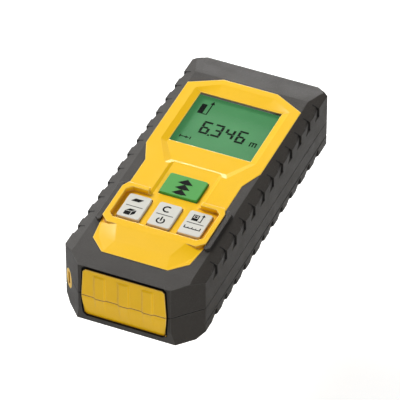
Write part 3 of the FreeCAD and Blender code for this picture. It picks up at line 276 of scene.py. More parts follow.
def moulded(name, tone, rough=(0.38, 0.5), grain=0.00022, depth=0.000012, drift=0.06, gloss=0.5, dust=0.0,
             edge=0.00025, edge_highlight=None, crevice_shade=None, open_above=0.82):
    """A moulding: tone drift over a few cm, rubbed patches, fine grain, a painted highlight on its edges and
    painted shade in its corners.
    """
    paint, tree, where, shader = start(name)
    flow = tree.noise(where, FLOW, detail=2)
    speck = tree.noise(where, SPECK, detail=4, rough=0.7)
    base = tree.blend(flow, deeper(tone, 1 - drift), deeper(tone, 1 + drift))
    base = tree.blend(tree.span(speck, 0.35, 0.7, 0, 0.5), base, deeper(tone, 1 - drift * 1.6))
    fine = tree.noise(where, grain, detail=2, rough=0.6)
    if dust:
        pale = tuple(v + dust * (0.55 - v) for v in tone[:3]) + (1,)
        base = tree.blend(tree.span(fine, 0.52, 0.72, 0, 0.6), base, pale)
    rub = tree.noise(where, RUB, detail=5, rough=0.62)
    rounded = tree.add("ShaderNodeBevel", {"Radius": edge}, samples=EDGE_RAYS).outputs["Normal"]
    # Painted highlight: where the rounded normal turns away from the flat one, near an edge, the colour goes
    # paler.
    if edge_highlight:
        flat = tree.add("ShaderNodeNewGeometry").outputs["Normal"]
        pair = {0: rounded, 1: flat}
        match = tree.add("ShaderNodeVectorMath", pair, operation="DOT_PRODUCT").outputs["Value"]
        base = tree.blend(tree.span(match, 0.99, 0.9, 0, 0.75), base, edge_highlight)
    # Painted shade: where ambient occlusion finds surfaces close by, in corners and creases, the colour goes
    # darker.
    if crevice_shade:
        nearby = tree.add("ShaderNodeAmbientOcclusion", {"Distance": CREVICE}, samples=EDGE_RAYS)
        shelter = nearby.outputs["AO"]
        base = tree.blend(tree.span(shelter, 0.4, open_above, 0.9, 0), base, crevice_shade)
    tree.join(base, shader.inputs["Base Color"])
    tree.join(tree.span(rub, 0.3, 0.72, *rough), shader.inputs["Roughness"])
    lumps = tree.noise(where, grain * 6, detail=2)
    coarse = tree.bump(lumps, depth * 1.5, 0.5, rounded)
    tree.join(tree.bump(fine, depth, 1.0, coarse), shader.inputs["Normal"])
    shader.inputs["Specular IOR Level"].default_value = gloss
    return paint


YELLOW = colour(250, 196, 6)
CHARCOAL = colour(43, 38, 32)
# The pale edge tones below are painted highlights, and the dark corner tones are painted shade.
paints = {
    "casing_yellow": moulded("casing_yellow", YELLOW, (0.33, 0.45), grain=0.00026, depth=0.000006, drift=0.03,
                             gloss=0.3, edge=0.0004, edge_highlight=colour(255, 232, 150), crevice_shade=colour(196, 120, 0)),
    "grip_rubber": moulded("grip_rubber", CHARCOAL, (0.5, 0.62), grain=0.00035, depth=0.00003, drift=0.12,
                           gloss=0.45, dust=0.05, edge=0.0004, edge_highlight=colour(88, 86, 82),
                           crevice_shade=colour(12, 10, 9), open_above=0.93),
    "seal_rubber": moulded("seal_rubber", colour(18, 17, 16), (0.6, 0.75), depth=0.00001, drift=0.15,
                           gloss=0.3),
    "cover_black": moulded("cover_black", colour(52, 51, 50), (0.45, 0.6), grain=0.0004, depth=0.00002,
                           drift=0.1),
    "bezel_black": moulded("bezel_black", colour(44, 43, 43), (0.3, 0.42), depth=0.000006, drift=0.1),
    "white_plastic": moulded("white_plastic", colour(226, 226, 220), (0.4, 0.55), depth=0.000004, drift=0.03),
    "key_green": moulded("key_green", colour(66, 160, 60), (0.42, 0.55), depth=0.000006, drift=0.06),
    "key_pale": moulded("key_pale", colour(212, 211, 202), (0.45, 0.58), depth=0.000006, drift=0.03),
    "silicone_grey": moulded("silicone_grey", colour(128, 130, 132), (0.5, 0.66), depth=0.000006, drift=0.06),
}
print("mouldings:", sorted(paints))

# %% [markdown]
# ## Metals
# The works inside show when the cover swings open or a shell is taken off, so they get true finishes too.
# Rolled sheet, drawn wire and turned brass all carry fine scratches along the way that they were worked.


# %% Metal finish
SCRATCH, TARNISH, SCRATCH_DEPTH = 0.0009, 0.004, 0.000004


def metal(name, tone, rough=(0.22, 0.38), stretch=(1, 14, 1)):
    """Drawn or rolled metal: long fine scratches, and a slow drift of tone and shine."""
    paint, tree, where, shader = start(name)
    long_way = tree.add("ShaderNodeMapping", {"Vector": where})
    long_way.inputs["Scale"].default_value = stretch
    lines = tree.noise(long_way.outputs[0], SCRATCH, detail=4, rough=0.7)
    cloud = tree.noise(where, TARNISH, detail=3)
    tree.join(tree.blend(cloud, deeper(tone, 0.86), deeper(tone, 1.06)), shader.inputs["Base Color"])
    tree.join(tree.span(lines, 0.3, 0.7, *rough), shader.inputs["Roughness"])
    tree.join(tree.bump(lines, SCRATCH_DEPTH, 0.6), shader.inputs["Normal"])
    shader.inputs["Metallic"].default_value = 1.0
    return paint


paints.update({
    "spring_steel": metal("spring_steel", colour(176, 176, 172)),
    "screw_steel": metal("screw_steel", colour(120, 120, 122), (0.3, 0.46), (6, 6, 1)),
    "shield_tin": metal("shield_tin", colour(196, 198, 200), (0.3, 0.5)),
    "barrel_brass": metal("barrel_brass", colour(196, 158, 84), (0.2, 0.34), (1, 1, 12)),
    "can_gold": metal("can_gold", colour(214, 172, 92), (0.16, 0.28)),
})
print("metals ready:", len(paints), "finishes so far")

# %% [markdown]
# ## Glass and clear acrylic
# The lenses and the laser windows are coated glass. The display window is thin acrylic, so clear that it is
# made nearly see-through, with a little sheen, rather than as a solid that would bend and dim the display under
# it.


# %% Glass and clear acrylic
WIPE = 0.007
COAT_DARK, COAT_LIGHT, COAT_ROUGH = (0.03, 0.04, 0.035, 1), (0.05, 0.06, 0.055, 1), (0.04, 0.14)


def clear(name, tone, index, rough, haze):
    """A clear pane: nearly smooth, with a faint wipe haze in its roughness and a slight tint."""
    paint, tree, where, shader = start(name)
    wipe = tree.noise(where, WIPE, detail=5, rough=0.7)
    tree.join(tree.span(wipe, 0.4, 0.75, rough, rough + haze), shader.inputs["Roughness"])
    tree.join(tree.blend(wipe, tone, deeper(tone, 0.985)), shader.inputs["Base Color"])
    shader.inputs["Transmission Weight"].default_value = 1.0
    shader.inputs["IOR"].default_value = index
    return paint


def acrylic(name, cover):
    """A thin hard-coated window: nearly all see-through, with a sheen and a few hair-fine wipe marks."""
    paint, tree, where, shader = start(name)
    wipe = tree.noise(where, WIPE, detail=5, rough=0.7)
    tree.join(tree.blend(wipe, COAT_DARK, COAT_LIGHT), shader.inputs["Base Color"])
    tree.join(tree.span(wipe, 0.4, 0.75, *COAT_ROUGH), shader.inputs["Roughness"])
    tree.join(tree.span(wipe, 0.3, 0.8, cover, cover * 1.5), shader.inputs["Alpha"])
    shader.inputs["Specular IOR Level"].default_value = 0.3
    return paint


paints["window_clear"] = acrylic("window_clear", 0.05)
paints["optical_glass"] = clear("optical_glass", (0.82, 0.86, 0.97, 1), 1.5, 0.0, 0.03)
print("clear panes: display window and optics")

# %% [markdown]
# ## The display
# A liquid-crystal display is two glasses over a green diffuser with a light behind it. Close to, the green has
# a fine dot grain and is a little deeper towards its edges, and the polariser gives it a satin sheen. Part of
# its light is its own, so a shadow stays weak on it. The inks of the marks are made here too.

# %% Display finish
BACKLIGHT, DAYLIGHT = 0.62, 0.4
DOT_GRAIN, CLOUD = 0.00016, 0.012
GREEN_MIDDLE, GREEN_EDGE = colour(80, 156, 96), colour(68, 142, 86)
GREEN_CLOUD, GREEN_DOT = colour(90, 164, 104), colour(60, 126, 76)
EDGE_FROM, EDGE_TO = 4 * MM, 22 * MM
PEEL, PEEL_DEPTH = 0.0005, 0.000003


def display_green():
    paint, tree, where, shader = start("lcd_green")
    low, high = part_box("lcd_glass")
    middle = (low + high) / 2
    centred = tree.add("ShaderNodeMapping", {"Vector": where}, vector_type="POINT")
    centred.inputs["Location"].default_value = -middle
    off = centred.outputs[0]
    reach = tree.add("ShaderNodeVectorMath", {0: off}, operation="LENGTH").outputs["Value"]
    grain = tree.noise(where, DOT_GRAIN, detail=1)
    cloud = tree.noise(where, CLOUD, detail=2)
    base = tree.blend(tree.span(reach, EDGE_FROM, EDGE_TO, 0, 1), GREEN_MIDDLE, GREEN_EDGE)
    base = tree.blend(tree.span(cloud, 0.3, 0.7, 0, 0.35), base, GREEN_CLOUD)
    base = tree.blend(tree.span(grain, 0.4, 0.6, 0, 0.18), base, GREEN_DOT)
    lit_share = tree.blend(1.0, base, (DAYLIGHT, DAYLIGHT, DAYLIGHT, 1), "MULTIPLY")
    tree.join(lit_share, shader.inputs["Base Color"])
    tree.join(tree.span(grain, 0.3, 0.7, 0.42, 0.55), shader.inputs["Roughness"])
    tree.join(base, shader.inputs["Emission Color"])
    shader.inputs["Emission Strength"].default_value = BACKLIGHT
    shader.inputs["Specular IOR Level"].default_value = 0.3
    return paint


def printed(name, tone, rough=0.5):
    """Pad-printed ink: a little uneven in tone and shine, with a soft orange-peel surface."""
    paint, tree, where, shader = start(name)
    peel = tree.noise(where, PEEL, detail=3)
    tree.join(tree.blend(peel, deeper(tone, 0.8), deeper(tone, 1.25)), shader.inputs["Base Color"])
    tree.join(tree.span(peel, 0.3, 0.7, rough - 0.08, rough + 0.08), shader.inputs["Roughness"])
    tree.join(tree.bump(peel, PEEL_DEPTH, 0.5), shader.inputs["Normal"])
    shader.inputs["Specular IOR Level"].default_value = 0.08
    return paint


paints["lcd_green"] = display_green()
paints["ink_black"] = printed("ink_black", colour(5, 5, 5))
paints["ink_grey"] = printed("ink_grey", colour(84, 84, 80))
paints["segment_black"] = printed("segment_black", colour(2, 5, 3), 0.62)
print("display and inks ready")

# %% [markdown]
# ## Boards, foam, wraps and film
# A circuit board is copper under green lacquer. Foam is a crowd of open pores. The cells wear a plain dark
# sleeve with one coloured band, and the label is a film with a frame and even bars. None of them says anything.


# %% Boards, foam, wraps and film
TRACES_PER_METRE, TRACE_EDGE, TRACE_HEIGHT, WEAVE = 420.0, (0.05, 0.11), 0.00002, 0.0004
PORES_PER_METRE, PORE_DEPTH, FOAM_CLOUD = 1900.0, 0.0001, 0.003
BAND_FROM_PLUS, BAND_TO_PLUS, PLUS_CAP, MINUS_CAP = 13 * MM, 2.6 * MM, 1.3 * MM, 0.6 * MM
SLEEVE_GRAIN, SLEEVE_DEPTH = 0.0012, 0.000004
LABEL_MARGIN, BAR_WAVE, BAR_CUT = 1 * MM, 2900.0, 0.72
FRAME_FROM, BARS_TO, INK_SHARE, FILM_GRAIN, FILM_DEPTH = 0.97, 0.8, 0.75, 0.0006, 0.000003


def board_green():
    """Lacquered board: copper traces show as a paler web under the green."""
    paint, tree, where, shader = start("board_green")
    web = tree.add("ShaderNodeTexVoronoi", {"Vector": where, "Scale": TRACES_PER_METRE},
                   feature="DISTANCE_TO_EDGE", distance="MANHATTAN").outputs["Distance"]
    weave = tree.noise(where, WEAVE, detail=2)
    base = tree.blend(tree.span(web, *TRACE_EDGE, 1, 0), colour(22, 82, 48), colour(58, 122, 66))
    base = tree.blend(tree.span(weave, 0.4, 0.7, 0, 0.3), base, colour(16, 66, 38))
    tree.join(base, shader.inputs["Base Color"])
    tree.join(tree.span(weave, 0.3, 0.7, 0.26, 0.42), shader.inputs["Roughness"])
    tree.join(tree.bump(tree.span(web, *TRACE_EDGE, 1, 0), TRACE_HEIGHT, 0.6), shader.inputs["Normal"])
    return paint


def foam_grey():
    """Open-cell foam: crowded round pores, with painted shade darkening each pore towards its middle."""
    paint, tree, where, shader = start("foam_grey")
    cells = tree.add("ShaderNodeTexVoronoi", {"Vector": where, "Scale": PORES_PER_METRE})
    pore = cells.outputs["Distance"]
    cloud = tree.noise(where, FOAM_CLOUD, detail=3)
    # Painted shade: each pore goes darker towards its middle, where a real pore's hollow lies in shadow.
    base = tree.blend(tree.span(pore, 0.2, 0.6, 0, 1), colour(54, 54, 56), colour(104, 104, 106))
    base = tree.blend(tree.span(cloud, 0.3, 0.7, 0, 0.3), base, colour(84, 84, 88))
    tree.join(base, shader.inputs["Base Color"])
    tree.join(tree.span(cloud, 0.3, 0.7, 0.85, 0.95), shader.inputs["Roughness"])
    tree.join(tree.bump(pore, PORE_DEPTH, 0.8), shader.inputs["Normal"])
    return paint


def cell_wrap():
    """A plain printed wrap: dark sleeve, one coloured band at the plus end, and bare steel ends."""
    paint, tree, where, shader = start("cell_wrap")
    along = tree.add("ShaderNodeSeparateXYZ", {"Vector": where}).outputs["Y"]
    low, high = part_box("battery_left")
    fine = tree.noise(where, SLEEVE_GRAIN, detail=3)
    sleeve = tree.blend(fine, colour(40, 42, 46), colour(54, 56, 60))
    band = tree.sum("MULTIPLY", tree.sum("GREATER_THAN", along, high.y - BAND_FROM_PLUS),
                    tree.sum("LESS_THAN", along, high.y - BAND_TO_PLUS))
    base = tree.blend(band, sleeve, colour(196, 92, 40))
    ends = tree.sum("MAXIMUM", tree.sum("GREATER_THAN", along, high.y - PLUS_CAP),
                    tree.sum("LESS_THAN", along, low.y + MINUS_CAP))
    tree.join(tree.blend(ends, base, colour(186, 186, 184)), shader.inputs["Base Color"])
    tree.join(ends, shader.inputs["Metallic"])
    tree.join(tree.span(fine, 0.3, 0.7, 0.24, 0.36), shader.inputs["Roughness"])
    tree.join(tree.bump(fine, SLEEVE_DEPTH, 0.5), shader.inputs["Normal"])
    return paint


def label_film():
    """A plain rating film: a frame line and rows of even bars that say nothing."""
    paint, tree, where, shader = start("label_film")
    low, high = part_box("rear_label")
    middle = (low + high) / 2
    centred = tree.add("ShaderNodeMapping", {"Vector": where})
    centred.inputs["Location"].default_value = (-middle.x, -middle.y, 0)
    parts = tree.add("ShaderNodeSeparateXYZ", {"Vector": centred.outputs[0]})
    across = tree.sum("ABSOLUTE", parts.outputs["X"])
    along = tree.sum("ABSOLUTE", parts.outputs["Y"])
    half_x, half_y = (high.x - low.x) / 2, (high.y - low.y) / 2
    inner = tree.sum("MAXIMUM", tree.sum("DIVIDE", across, half_x - LABEL_MARGIN),
                     tree.sum("DIVIDE", along, half_y - LABEL_MARGIN))
    frame_line = tree.sum("MULTIPLY", tree.sum("GREATER_THAN", inner, FRAME_FROM),
                          tree.sum("LESS_THAN", inner, 1.0))
    wave = tree.sum("SINE", tree.sum("MULTIPLY", parts.outputs["Y"], BAR_WAVE))
    rows = tree.sum("GREATER_THAN", wave, BAR_CUT)
    bars = tree.sum("MULTIPLY", rows, tree.sum("LESS_THAN", inner, BARS_TO))
    fine = tree.noise(where, FILM_GRAIN, detail=3)
    film = tree.blend(fine, colour(196, 197, 198), colour(208, 209, 210))
    ink = tree.sum("MULTIPLY", tree.sum("MAXIMUM", frame_line, bars), INK_SHARE)
    tree.join(tree.blend(ink, film, colour(70, 70, 72)), shader.inputs["Base Color"])
    tree.join(tree.span(fine, 0.3, 0.7, 0.34, 0.46), shader.inputs["Roughness"])
    tree.join(tree.bump(fine, FILM_DEPTH, 0.5), shader.inputs["Normal"])
    return paint


paints.update({
    "board_green": board_green(),
    "foam_grey": foam_grey(),
    "cell_wrap": cell_wrap(),
    "label_film": label_film(),
    "chip_black": moulded("chip_black", colour(34, 34, 36), (0.45, 0.6), depth=0.000008, drift=0.1),
    "flex_amber": moulded("flex_amber", colour(190, 120, 40), (0.3, 0.42), depth=0.000004, drift=0.08),
})
print("all finishes:", len(paints))

# %% [markdown]
# ## Dress every CAD node
# The record names a finish for each slot. Nodes that keep their CAD mesh take the finish of their slot; the
# ones with a more detailed visual piece are replaced further down. The outer shells keep their CAD meshes.

# %% Nodes to finishes
SLOTS = {
    "casing_yellow": ["upper_casing", "lower_casing", "lanyard_eyelet"],
    "grip_rubber": ["upper_grip", "lower_grip"],
    "seal_rubber": ["casing_seal", "zebra_strip", "display_gasket"],
    "cover_black": ["battery_cover"],
    "bezel_black": ["front_bezel", "optics_carrier"],
    "window_clear": ["display_window"],
    "optical_glass": ["receiver_lens", "collimator_lens", "receiver_window", "laser_window"],
    "lcd_green": ["lcd_glass"],
    "white_plastic": ["lcd_frame", "backlight_panel"],
    "key_green": ["measure_button"],
    "key_pale": ["area_volume_key", "clear_power_key", "reference_units_key"],
    "silicone_grey": ["keypad_mat", "measure_plunger", "area_volume_plunger", "clear_power_plunger",
                      "reference_units_plunger"],
    "spring_steel": ["key_domes", "battery_springs", "battery_plates", "lanyard_bar"],
    "screw_steel": ["board_screws", "casing_screws"],
    "shield_tin": ["board_shield"],
    "board_green": ["main_board", "receiver_board"],
    "chip_black": ["board_chips", "buzzer", "board_header"],
    "flex_amber": ["laser_flex"],
    "barrel_brass": ["laser_barrel"],
    "can_gold": ["laser_diode", "photodiode"],
    "cell_wrap": ["battery_left", "battery_right"],
    "foam_grey": ["cover_pad"],
    "label_film": ["rear_label"],
}


def repaint(node, paint):
    slots = nodes[node].data.materials
    if not slots:
        slots.append(paint)
    for i in range(len(slots)):
        slots[i] = paint


for slot_name, members in SLOTS.items():
    for node in members:
        repaint(node, paints[slot_name])
print("painted:", sum(map(len, SLOTS.values())), "of", len(nodes), "nodes")

# %% [markdown]
# ## Caps and cover
# A moulding never has a knife edge. The caps and the cover are copied from their CAD nodes, their loose
# triangles are merged back into faces, and a bevel breaks every crease. Small faces hold the bevel to a few
# hundredths of a millimetre, so that it never folds over itself.


# %% Pieces from meshes
WELD, FLAT_WITHIN, CREASE = 0.000004, math.radians(0.6), math.radians(24)
BIG_FACES_FIRST = 60


def place(name, mesh, body, slot_name, *stands_for):
    """A finished piece: named, painted, riding on its body, and standing for its CAD nodes."""
    made = bpy.data.objects.new(name, mesh)
    bpy.context.scene.collection.objects.link(made)
    if not mesh.materials:
        mesh.materials.append(paints[slot_name])
    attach(made, body)
    if stands_for:
        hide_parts(*stands_for)
    return made


def baked(thing):
    """The plain mesh that an object has once its modifiers are worked out."""
    bpy.context.view_layer.update()
    made = bpy.data.meshes.new_from_object(thing.evaluated_get(bpy.context.evaluated_depsgraph_get()))
    source = thing.data
    bpy.data.objects.remove(thing)
    bpy.data.meshes.remove(source)
    return made


def meshed(work, name):
    """The plain mesh of a finished bmesh."""
    mesh = bpy.data.meshes.new(name)
    work.to_mesh(mesh)
    work.free()
    return mesh


def merged_copy(node):
    """A CAD node's mesh with its loose triangles joined and its flat faces made whole."""
    work = bmesh.new()
    work.from_mesh(nodes[node].data)
    bmesh.ops.remove_doubles(work, verts=work.verts, dist=WELD)
    bmesh.ops.dissolve_limit(work, angle_limit=FLAT_WITHIN, verts=work.verts, edges=work.edges)
    return meshed(work, node + "_merged")


def softened(name, node, body, slot_name, width, steps=2):
    """A copy of a CAD node with its creases bevelled by up to a width in millimetres."""
    work = bpy.data.objects.new("work", merged_copy(node))
    bpy.context.scene.collection.objects.link(work)
    edge = work.modifiers.new("soft", "BEVEL")
    edge.width = width * MM
    edge.segments = steps
    edge.limit_method = "ANGLE"
    edge.angle_limit = CREASE
    edge.use_clamp_overlap = True
    edge.miter_outer = "MITER_ARC"
    mesh = baked(work)
    mesh.materials.clear()
    mesh.shade_smooth()
    made = place(name, mesh, body, slot_name, node)
    smooth = made.modifiers.new("even_shade", "WEIGHTED_NORMAL")
    smooth.keep_sharp = True
    smooth.weight = BIG_FACES_FIRST
    print(name, "faces", len(mesh.polygons))


# %% Caps and cover
KEYS = ("area_volume_key", "clear_power_key", "reference_units_key")
COVER_EDGE, CAP_EDGE, CAP_STEPS = 0.15, 0.3, 3
softened("rear_cover", "battery_cover", "battery_cover", "cover_black", COVER_EDGE)
softened("measuring_key", "measure_button", "measure_button", "key_green", CAP_EDGE, CAP_STEPS)
for key in KEYS:
    softened(key.replace("_key", "_cap"), key, key, "key_pale", CAP_EDGE, CAP_STEPS)

# %% [markdown]
# ## Printed marks
# The marks are pad-printed ink and liquid-crystal segments: flat shapes a few hundredths of a millimetre thick.
# Each is an outline drawn in the part's own millimetres and made into a thin plate. All of them are plain
# pictograms or figures.


# %% Flat shapes
INK = 0.03


def plates(outlines, low, high):
    """One mesh of upright plates, from outlines in millimetres between two heights in metres."""
    work = bmesh.new()
    for outline in outlines:
        area = sum(a[0] * b[1] - b[0] * a[1] for a, b in zip(outline, outline[1:] + outline[:1]))
        points = outline if area > 0 else outline[::-1]
        under = [work.verts.new((x * MM, y * MM, low)) for x, y in points]
        over = [work.verts.new((x * MM, y * MM, high)) for x, y in points]
        work.faces.new(over)
        work.faces.new(under[::-1])
        for i in range(len(points)):
            k = (i + 1) % len(points)
            work.faces.new((under[i], under[k], over[k], over[i]))
    return meshed(work, "plates")


def oblong(left, right, low, high):
    return [(left, low), (right, low), (right, high), (left, high)]


def stroke(a, b, width):
    """A straight stroke of a given width from one point to another."""
    along = Vector((b[0] - a[0], b[1] - a[1])).normalized() * width / 2
    side = (-along.y, along.x)
    return [(a[0] - side[0], a[1] - side[1]), (b[0] - side[0], b[1] - side[1]),
            (b[0] + side[0], b[1] + side[1]), (a[0] + side[0], a[1] + side[1])]


def arc(centre, radius, width, start, end, steps=28):
    """An open ring, from one angle in degrees to another."""
    turns = [math.radians(start + (end - start) * i / steps) for i in range(steps + 1)]
    hole = radius - width
    outer = [(centre[0] + radius * math.cos(t), centre[1] + radius * math.sin(t)) for t in turns]
    inner = [(centre[0] + hole * math.cos(t), centre[1] + hole * math.sin(t)) for t in turns]
    return outer + inner[::-1]


print("shape tools ready")

# %% [markdown]
# ## What the display shows
# A reading in seven-segment digits, a unit mark, a pictogram for the measuring edge and a small range mark.
# Each digit is drawn from the list of its lit segments. The figures are only an example of a reading.

# %% Display segments
DIGIT_WIDTH, DIGIT_HEIGHT, SEGMENT, SEGMENT_GAP = 3.35, 6.6, 0.88, 0.12
DIGIT_LOW = 22.0
READING, READING_LEFTS = "6346", (-8.5, -4.1, 0.3, 4.6)
LIT = {"3": "abgcd", "4": "fgbc", "6": "afgecd"}


def digit(figure, left):
    """The lit segments of one figure, each a stroke with a small gap at its ends."""
    low, half, gap = DIGIT_LOW, DIGIT_HEIGHT / 2, SEGMENT_GAP
    inset = SEGMENT / 2
    right, high = left + DIGIT_WIDTH, low + DIGIT_HEIGHT
    ends = {
        "a": ((left + gap, high - inset), (right - gap, high - inset)),
        "g": ((left + SEGMENT, low + half), (right - SEGMENT, low + half)),
        "d": ((left + gap, low + inset), (right - gap, low + inset)),
        "f": ((left + inset, low + half + gap), (left + inset, high - SEGMENT - gap)),
        "b": ((right - inset, low + half + gap), (right - inset, high - SEGMENT - gap)),
        "e": ((left + inset, low + SEGMENT + gap), (left + inset, low + half - gap)),
        "c": ((right - inset, low + SEGMENT + gap), (right - inset, low + half - gap)),
    }
    return [stroke(*ends[segment], SEGMENT) for segment in LIT[figure]]


reading = [shape for figure, left in zip(READING, READING_LEFTS) for shape in digit(figure, left)]
reading.append(oblong(-4.95, -4.2, 21.6, 22.4))
unit_mark = [oblong(10.2, 10.65, 22.0, 24.2), oblong(11.2, 11.65, 22.0, 24.2),
             oblong(12.2, 12.65, 22.0, 24.2), oblong(10.2, 12.65, 23.85, 24.3)]
edge_mark = [oblong(-12.9, -11.0, 31.6, 36.8), oblong(-10.9, -9.3, 31.6, 32.0),
             oblong(-9.7, -9.3, 32.0, 37.6), [(-10.3, 37.4), (-8.7, 37.4), (-9.5, 39.1)]]
range_mark = [oblong(-13.5, -13.1, 17.5, 18.9), oblong(-13.1, -11.2, 18.0, 18.4),
              oblong(-9.75, -9.35, 17.5, 18.9), [(-11.3, 17.6), (-10.0, 18.2), (-11.3, 18.8)]]
glass_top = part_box("lcd_glass")[1].z
shown = reading + unit_mark + edge_mark + range_mark
place("display_segments", plates(shown, glass_top, glass_top + INK * MM), "housing", "segment_black")
print("display shapes:", len(shown))

# %% [markdown]
# ## Pictograms on the keys
# Left key: a flat area over a box, for area and volume. Middle key: an open ring over the power sign. Right
# key: the meter with an arrow, for its measuring edge, over a short rule, for the units. A grey line parts each
# pair.

# %% Key pictograms
area_volume = [
    [(-13.3, -22.5), (-10.4, -22.5), (-9.1, -21.0), (-12.1, -21.0)],
    oblong(-13.1, -10.9, -29.6, -27.7),
    [(-12.95, -27.45), (-10.85, -27.45), (-9.75, -26.4), (-11.85, -26.4)],
    [(-10.65, -29.6), (-9.4, -28.4), (-9.4, -26.6), (-10.65, -27.65)],
]
clear_power = [
    arc((-0.3, -22.0), 1.6, 0.6, 48, 312),
    arc((-0.2, -28.0), 1.55, 0.52, 125, 415),
    oblong(-0.46, 0.06, -28.1, -25.95),
]
reference_units = [
    oblong(8.9, 9.25, -23.7, -20.7), oblong(10.75, 11.1, -23.7, -20.7), oblong(9.25, 10.75, -21.1, -20.7),
    oblong(9.25, 10.75, -23.7, -22.4), oblong(9.55, 10.45, -22.15, -21.35),
    oblong(12.15, 12.5, -23.9, -20.8), oblong(11.4, 12.15, -23.9, -23.55),
    [(11.7, -20.9), (12.95, -20.9), (12.32, -19.8)],
    oblong(8.0, 13.9, -28.0, -27.6), oblong(8.0, 8.35, -27.6, -26.6), oblong(13.55, 13.9, -27.6, -26.6),
    oblong(10.8, 11.1, -27.6, -27.0), oblong(9.4, 9.65, -27.6, -27.15), oblong(12.2, 12.45, -27.6, -27.15),
]
DIVIDER_LOW, DIVIDER_HIGH, DIVIDER_HALF = -25.1, -24.78, 3
KEY_MIDDLES = (-11, 0, 11)
for key, shapes, middle in zip(KEYS, (area_volume, clear_power, reference_units), KEY_MIDDLES):
    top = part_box(key)[1].z
    under, over = top - INK * MM, top + INK * MM
    place(key.replace("_key", "_marks"), plates(shapes, under, over), key, "ink_black")
    line = [oblong(middle - DIVIDER_HALF, middle + DIVIDER_HALF, DIVIDER_LOW, DIVIDER_HIGH)]
    place(key.replace("_key", "_divider"), plates(line, under, over), key, "ink_grey")
print("marks on", len(KEYS), "keys")

# %% [markdown]
# ## Arrowheads on the measuring button
# Three equal arrowheads stand in a row, pointing the way the beam leaves. What repeats is set out by a node
# tree: a line of points, one shape on each point, and named inputs for the count, the start and the pitch. The
# same tree sets the ten solder pins on the board.


# %% Rows by node tree
def row_tree(shape, paint):
    """A node tree that sets copies of one shape along a line."""
    group = bpy.data.node_groups.new("row_of_shapes", "GeometryNodeTree")
    ports = group.interface
    for name, kind in (("Count", "NodeSocketInt"), ("Start", "NodeSocketVector"),
                       ("Pitch", "NodeSocketVector")):
        ports.new_socket(name=name, in_out="INPUT", socket_type=kind)
    ports.new_socket(name="Geometry", in_out="OUTPUT", socket_type="NodeSocketGeometry")
    tree = Tree(group)
    given = tree.add("NodeGroupInput").outputs
    line = tree.add("GeometryNodeMeshLine", {
        "Count": given["Count"], "Start Location": given["Start"], "Offset": given["Pitch"]}, mode="OFFSET")
    source = tree.add("GeometryNodeObjectInfo", {"Object": shape})
    placed = tree.add("GeometryNodeInstanceOnPoints", {
        "Points": line.outputs[0], "Instance": source.outputs["Geometry"]})
    whole = tree.add("GeometryNodeRealizeInstances", {"Geometry": placed.outputs[0]})
    dressed = tree.add("GeometryNodeSetMaterial", {"Geometry": whole.outputs[0], "Material": paint})
    tree.add("NodeGroupOutput", {"Geometry": dressed.outputs[0]})
    return group


def row(name, mesh, count, start, pitch, body, slot_name):
    """A row of equal shapes, as one plain piece."""
    shape = bpy.data.objects.new(name + "_shape", mesh)
    bpy.context.scene.collection.objects.link(shape)
    carrier = bpy.data.objects.new(name + "_carrier", bpy.data.meshes.new(name + "_carrier"))
    bpy.context.scene.collection.objects.link(carrier)
    setter = carrier.modifiers.new("row", "NODES")
    setter.node_group = row_tree(shape, paints[slot_name])
    values = {"Count": count, "Start": start, "Pitch": pitch}
    for port in setter.node_group.interface.items_tree:
        if port.name in values:
            setter[port.identifier] = values[port.name]
    made = baked(carrier)
    bpy.data.objects.remove(shape)
    place(name, made, body, slot_name)


HEAD_HALF, HEAD_LENGTH, HEAD_NOTCH = 2.7, 2.75, 0.4
HEAD_COUNT, HEAD_Y, HEAD_PITCH = 3, -5.4, -2.7
PIN_COUNT, PIN_HALF, PIN_TALL, PIN_PITCH = 10, 0.3, 0.35, 2.5
PIN_X, PIN_Y = -11.25, -20
button_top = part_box("measure_button")[1].z
stem, barb, base = HEAD_HALF * 0.45, HEAD_NOTCH - HEAD_LENGTH, -HEAD_LENGTH + HEAD_NOTCH * 0.4
head = [(0, 0), (-HEAD_HALF, barb), (-stem, base), (-stem, -HEAD_LENGTH), (stem, -HEAD_LENGTH),
        (stem, base), (HEAD_HALF, barb)]
row("button_arrowheads", plates([head], -INK * MM, INK * MM), HEAD_COUNT,
    (0, HEAD_Y * MM, button_top), (0, HEAD_PITCH * MM, 0), "measure_button", "ink_black")
pin = plates([oblong(-PIN_HALF, PIN_HALF, -PIN_HALF, PIN_HALF)], 0, PIN_TALL * MM)
board_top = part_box("main_board")[1].z
row("board_pins", pin, PIN_COUNT, (PIN_X * MM, PIN_Y * MM, board_top), (PIN_PITCH * MM, 0, 0),
    "housing", "can_gold")
print("rows:", HEAD_COUNT, "arrowheads and", PIN_COUNT, "pins")

# %% [markdown]
# ## Painted shadow in the tread heels
# Each tread pocket ends in a sharp heel where the mould parts, and the deep corner there lies in shadow as a
# thin black hook. That shadow is painted: a thin dark strip follows the heel. One strip for each side is
# drawn once, and the same row tree repeats it down the rubber at the tread's pitch.

# %% Tread heel shadows
TREAD_PITCH, TREAD_HEEL_Y, TREAD_COUNT = 8.0, 48.9, 12
HEEL_SHADOW_WIDTH, HEEL_SHADOW_LIFT = 0.5, 0.09
HOOK = [(22.5, 24.37), (23.83, 23.89), (24.5, 22.9), (24.5, 20.3), (24.95, 19.95)]


